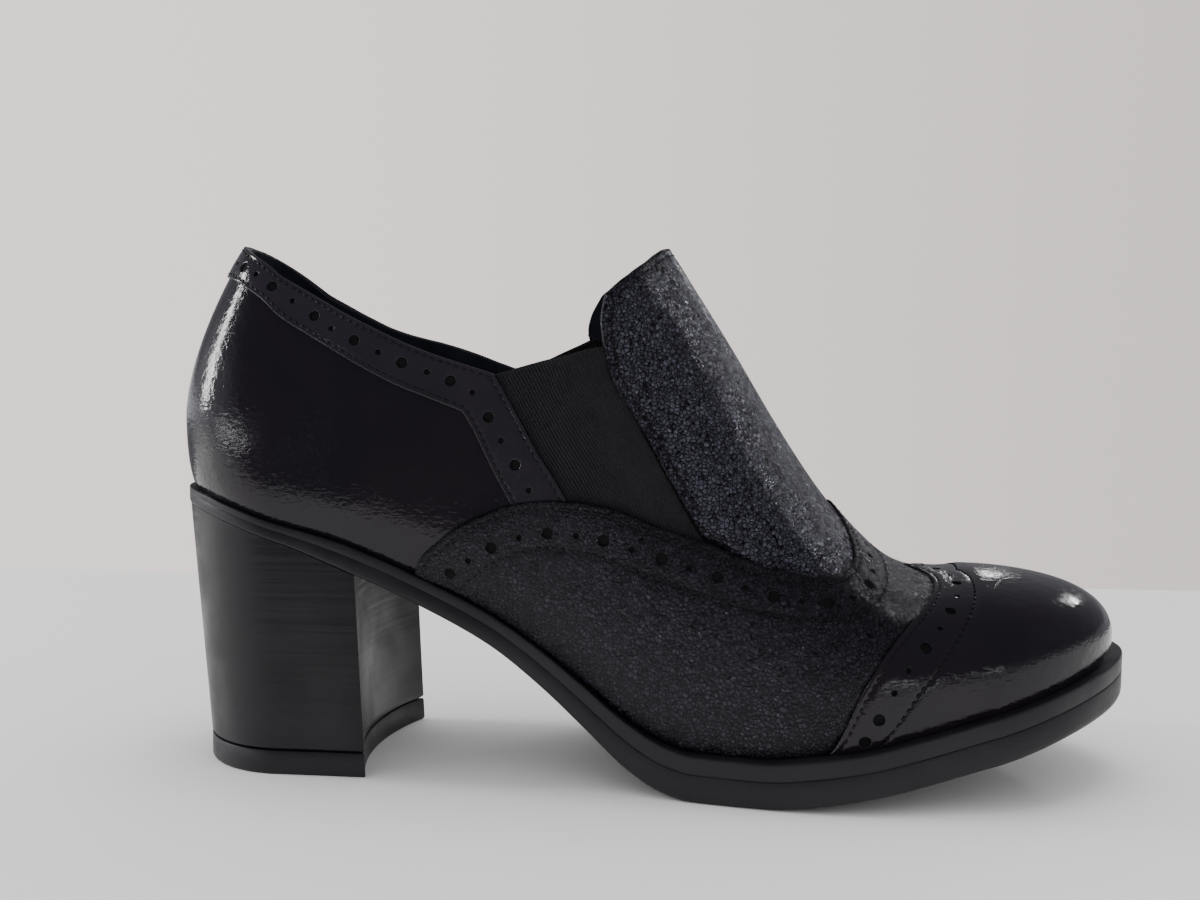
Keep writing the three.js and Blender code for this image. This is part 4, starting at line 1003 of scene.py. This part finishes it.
ribDown = np.linspace(0.02, 3.95, gore["ribSteps"])
for side, nodeName, title in ((lateral, "gore_lateral", "goreLateral"), (medial, "gore_medial", "goreMedial")):
    down = np.linspace(0, 4, 40)
    backEdge, frontEdge = [foreFlat(*gorePoint(across, down, side), side)
                           for across in (-gore["seam"], 1 + gore["seam"])]
    goreOutline = lined(
        resampled(backEdge), resampled(np.vstack([backEdge[-1], frontEdge[-1]])),
        resampled(frontEdge[::-1]), resampled(np.vstack([frontEdge[0], backEdge[0]])))
    gorePiece = leatherPanel(title, goreOutline, forePlace, gore["inner"], gore["outer"], blackElastic)
    finishPiece(gorePiece, "elastic", nodeName)
    paths, facings = [], []
    for k in range(gore["ribs"]):
        place = *gorePoint((k + 0.5) / gore["ribs"], ribDown, side), np.full(len(ribDown), float(side))
        for face in (gore["outer"], gore["inner"]):
            paths.append(skin(*place, face))
            facings.append(faceNormal(*place))
    ribs = grown(pathMesh(title + "Ribs", paths, facings), ribsOnPath, {
        "Width": gore["ribWidth"] * mm, "Elastic": elasticCord})
    finishPiece(ribs, "elastic")
print("gores made")


# Sole, insole, heel and lift: rings of points, with walls between them
def ringWalls(rings):
    count = len(rings[0])
    return [(k * count + i, k * count + (i + 1) % count, (k + 1) * count + (i + 1) % count, (k + 1) * count + i)
            for k in range(len(rings) - 1) for i in range(count)]


def longSolid(name, rings, material):
    # closed at both ends by strips across
    count = len(rings[0])
    faces = ringWalls(rings)
    for start, flip in ((0, False), ((len(rings) - 1) * count, True)):
        for i in range(count // 2):
            strip = [i, (count - i) % count, count - i - 1, i + 1]
            strip = [start + v for n, v in enumerate(strip) if v not in strip[:n]]
            if len(strip) > 2:
                faces.append(strip[::-1] if flip else strip)
    return newObject(name, np.vstack(rings), faces, material)


def blockSolid(name, rings, material):
    # closed at both ends by fans from the middle
    count = len(rings[0])
    verts = np.vstack(rings + [rings[0].mean(0)[None], rings[-1].mean(0)[None]])
    low, high = len(verts) - 2, len(verts) - 1
    last = (len(rings) - 1) * count
    faces = ringWalls(rings) + [(low, (i + 1) % count, i) for i in range(count)]
    faces += [(high, last + i, last + (i + 1) % count) for i in range(count)]
    return newObject(name, verts, faces, material)


def sharpened(made, degrees):
    # keeps edges sharp where a piece turns a corner
    made.data.set_sharp_from_angle(angle=math.radians(degrees))
    return made


sole = {  # inset and share of the depth, from the top edge down
    "side": [(0.4, 1), (0.12, 0.988), (0.02, 0.96), (0, 0.92), (0, 0.64), (0.06, 0.625), (0.16, 0.61), (0.06, 0.59),
             (0, 0.575), (0, 0.17), (0.12, 0.1), (0.45, 0.035), (1.2, 0)],
    "steps": (50, 150, 60), "sharp": 50,
}
soleStations = np.concatenate([np.linspace(k, k + 1, steps)[min(k, 1):] for k, steps in enumerate(sole["steps"])])


def soleRing(insetAt, heightAt):
    halves = []
    for side, chosen in ((lateral, soleStations), (medial, soleStations[1:-1][::-1])):
        x, y = soleEdge(chosen, side, insetAt(soleEdge(chosen, side, 0)[0], chosen))
        halves.append(np.stack([x, y, heightAt(x)], 1))
    return np.vstack(halves)


solePiece = longSolid("soleUnit", [
    soleRing(lambda x, s, inset=inset: inset * np.minimum(1, soleDepth(x) / shoe["soleThickness"]),
             lambda x, height=height: underside(x) + soleDepth(x) * height)
    for inset, height in sole["side"][::-1]], blackRubber)
finishPiece(sharpened(solePiece, sole["sharp"]), "rubber_sole", "outsole")

insole = {"wall": 1.8, "side": [(0.1, 0.05), (0.1, 1.7), (0.35, 2.05), (1.0, 2.2)]}  # inset and height, upwards
insolePiece = longSolid("sockBoard", [
    soleRing(lambda x, s, inset=inset: shoe["ledge"] * ledgeAt(stationParts(s)[0]) + insole["wall"] + inset,
             lambda x, height=height: seat(x) + height)
    for inset, height in insole["side"]], navyLining)
finishPiece(sharpened(insolePiece, sole["sharp"]), "lining", "insole")

heel = {
    "baseWidth": 53.5, "baseReach": 24.4, "topInset": 0.3, "breastReach": 22.5, "hollow": 5, "skew": 3, "lean": 3.4,
    "gap": 0.3, "edge": 0.5, "lift": 6, "sharp": 40,
    "backSteps": 36, "sideReach": 34, "sideCuts": 120, "sideSteps": 16, "breastSteps": 26, "rings": 34,
    "liftSide": [(0, 0.5), (0.15, 0.2), (0.5, 0), (3, 0), (5.6, 0), (5.9, 0.15), (6.0, 0.4)],  # height and inset
}


def breastAt(y, z):
    # the hollow front of the heel at a place across it and a height
    half = heel["baseWidth"] / 2
    radius = (half**2 + heel["hollow"] ** 2) / (2 * heel["hollow"])
    turn = math.atan(heel["skew"] / heel["baseWidth"])
    middleX = heel["breastReach"] + heel["skew"] / 2 - heel["hollow"] + radius
    centreX, centreY = middleX * math.cos(turn), -middleX * math.sin(turn)
    return heelAxis + centreX - np.sqrt(radius**2 - (y - centreY) ** 2) - z * heel["lean"] / shoe["heelHeight"]


def blockRing(share, levelAt, inset=0.0):
    # sides run forward from the back to the breast, and the breast closes the ring
    back = heel["backSteps"]
    straight = 1 + np.linspace(0, heel["sideReach"], heel["sideCuts"])[1:] / axisSpan
    station = np.concatenate([np.linspace(0, 1, back), straight])
    at = shoe["heelAxisAt"] + (shoe["toeAxisAt"] - shoe["heelAxisAt"]) * (np.maximum(1, station) - 1)
    topHalf = shoe["ballWidth"] * halfAt(at) - heel["topInset"]
    topReach = heelProfile["reach"] * shoe["length"] - heel["topInset"]
    half = heel["baseWidth"] / 2 * (1 - share) + topHalf * share - inset
    reach = heel["baseReach"] * (1 - share) + topReach * share - inset
    turn = math.pi / 2 * np.minimum(1, station)
    x = (at - 0.5) * shoe["length"] - reach * np.cos(turn)
    z = levelAt(x)
    rings = []
    for side in (lateral, medial):
        plan = np.stack([x, shoe["ballWidth"] * swingAt(at) + side * half * np.sin(turn)], 1)
        front = x - breastAt(plan[:, 1], z) + inset
        stop = int(np.argmax(front > 0))
        t = -front[stop - 1] / (front[stop] - front[stop - 1])
        corner = plan[stop - 1] + t * (plan[stop] - plan[stop - 1])
        line = resampled(np.vstack([plan[back - 1:stop], corner]), 1)
        run = np.linspace(0, 1, heel["sideSteps"])[1:]
        picked = np.stack([np.interp(run, np.linspace(0, 1, len(line)), line[:, k]) for k in (0, 1)], 1)
        rings.append(np.vstack([plan[:back], picked]))
    across = np.linspace(rings[0][-1, 1], rings[1][-1, 1], heel["breastSteps"])[1:-1]
    breast = np.stack([breastAt(across, levelAt(rings[0][-1, 0])) - inset, across], 1)
    flatRing = np.vstack([rings[0], breast, rings[1][:0:-1]])
    return np.column_stack([flatRing, levelAt(flatRing[:, 0])])


def blockLevel(share):
    floor = heel["lift"] + heel["gap"]
    return lambda x: floor + (underside(x) - 0.05 - floor) * share


heelRings = [blockRing(0, blockLevel(0), heel["edge"]), blockRing(0.004, blockLevel(0.004), heel["edge"] * 0.4)]
heelRings += [blockRing(share, blockLevel(share)) for share in np.linspace(0.012, 1, heel["rings"])]
heelPiece = blockSolid("heelBlock", heelRings, stackedHeel)
finishPiece(sharpened(heelPiece, heel["sharp"]), "heel_cover", "heel")
liftRings = [blockRing(0, lambda x, height=height: height + 0 * x, inset) for height, inset in heel["liftSide"]]
liftPiece = blockSolid("heelLift", liftRings, blackRubber)
finishPiece(sharpened(liftPiece, heel["sharp"]), "rubber_lift", "heel_lift")
print("sole and heel made")

# Floor, light and camera
stageSet = {"floor": (0.83, 0.812, 0.77), "near": -0.22, "far": 0.262, "side": 1.3, "wall": (0.88, 0.812, 0.777),
            "air": (0.82, 0.82, 0.88), "soft": 1.35, "bright": 1.6, "dim": 1.12}


def makeFloor():
    mesh = bpy.data.meshes.new("floor")
    x, near, far = stageSet["side"], stageSet["near"], stageSet["far"]
    mesh.from_pydata([(-x, near, 0), (x, near, 0), (x, far, 0), (-x, far, 0)], [], [(0, 1, 2, 3)])
    material, tree, shader, place = newMaterial("paleFloor", stageSet["floor"])
    feed(shader, {"Roughness": 0.6})
    mesh.materials.append(material)
    linked("floor", mesh)


def makeRoom():
    # the camera sees a pale wall; the leather mirrors a room that is darker on the camera's side
    world = bpy.data.worlds.new("room")
    bpy.context.scene.world = world
    world.use_nodes = True
    tree = world.node_tree
    rays = node(tree, "ShaderNodeLightPath").outputs
    way = node(tree, "ShaderNodeSeparateXYZ", {0: node(tree, "ShaderNodeTexCoord").outputs["Generated"]}).outputs

    def ramp(axis, *values):
        return ranged(tree, way[axis], *values, "SMOOTHSTEP")

    def both(first, second):
        return maths(tree, "MULTIPLY", first, second)

    # a wall behind, a bright left side, a low bright strip to both sides of the camera
    mirrored = ramp("Y", 0.1, 0.9, 0.13, 0.25)
    strips = maths(tree, "MAXIMUM", ramp("X", -0.33, -0.55, 0, 0.9), ramp("X", 0.3, 0.55, 0, 0.4))
    for part in (both(ramp("X", -0.72, -0.97, 0, 0.8), ramp("Z", 0.75, 0.1, 0.2, 1)),
                 both(ramp("X", 0.45, 0.95, 0, 0.08), ramp("Z", 0, 0.35, 0.2, 1)),
                 both(both(ramp("Z", -0.06, -0.01, 0, 1), ramp("Z", 0.09, 0.02, 0, 1)), strips)):
        mirrored = maths(tree, "ADD", mirrored, part)
    seen = ramp("X", -0.45, 0.45, stageSet["bright"], stageSet["dim"])
    unseen = node(tree, "ShaderNodeMix", {0: rays["Is Glossy Ray"], 2: stageSet["soft"], 3: mirrored})
    strength = node(tree, "ShaderNodeMix", {0: rays["Is Camera Ray"], 2: unseen, 3: seen})
    colour = mixed(tree, rays["Is Camera Ray"], stageSet["air"], stageSet["wall"])
    feed(tree.nodes["Background"], {"Strength": strength, "Color": colour})


def areaLight(name, place, target, size, power, mirrored=True):
    light = bpy.data.lights.new(name, "AREA")
    light.shape = "RECTANGLE"
    light.size, light.size_y = size
    light.energy = power
    made = linked(name, light)
    made.location = place
    made.visible_glossy = mirrored
    made.rotation_euler = (Vector(target) - Vector(place)).to_track_quat("-Z", "Y").to_euler()


makeFloor()
makeRoom()
areaLight("overhead", (0.1, 0.1, 1.4), (0.02, 0, 0.05), (0.8, 0.6), 7, False)
areaLight("backRight", (0.76, 0.84, 0.57), (0.05, 0, 0.05), (0.12, 0.06), 1.0)
areaLight("left", (-1.05, 0.06, 0.42), (-0.1, 0, 0.08), (0.16, 0.5), 6)
areaLight("toeGlint", (0.37, 1.14, 0.44), (0.08, 0, 0.03), (0.06, 0.05), 0.2)
areaLight("lowRight", (0.48, -0.99, 0.035), (0.08, 0, 0.03), (0.3, 0.02), 0.3)
areaLight("lowLeft", (-0.95, -0.55, 0.06), (-0.1, 0, 0.06), (0.6, 0.02), 0.7)

view = {"place": (11.8, -334.7, 103.3), "yaw": 0.07278, "pitch": 0.07121, "roll": 0.006283, "lens": 39}


def makeCamera():
    yaw, pitch, roll = view["yaw"], view["pitch"], view["roll"]
    look = Vector((-math.sin(yaw) * math.cos(pitch), math.cos(yaw) * math.cos(pitch), -math.sin(pitch)))
    right = Vector((math.cos(yaw), math.sin(yaw), 0))
    up = right.cross(look)
    turnedRight = right * math.cos(roll) + up * math.sin(roll)
    turnedUp = up * math.cos(roll) - right * math.sin(roll)
    data = bpy.data.cameras.new("camera")
    data.lens = view["lens"]
    data.sensor_width = 36
    camera = linked("camera", data)
    matrix = camera.matrix_world.to_3x3()
    matrix.col[0], matrix.col[1], matrix.col[2] = turnedRight, turnedUp, -look
    camera.matrix_world = matrix.to_4x4()
    camera.location = Vector(placed([view["place"]])[0])
    bpy.context.scene.camera = camera


makeCamera()
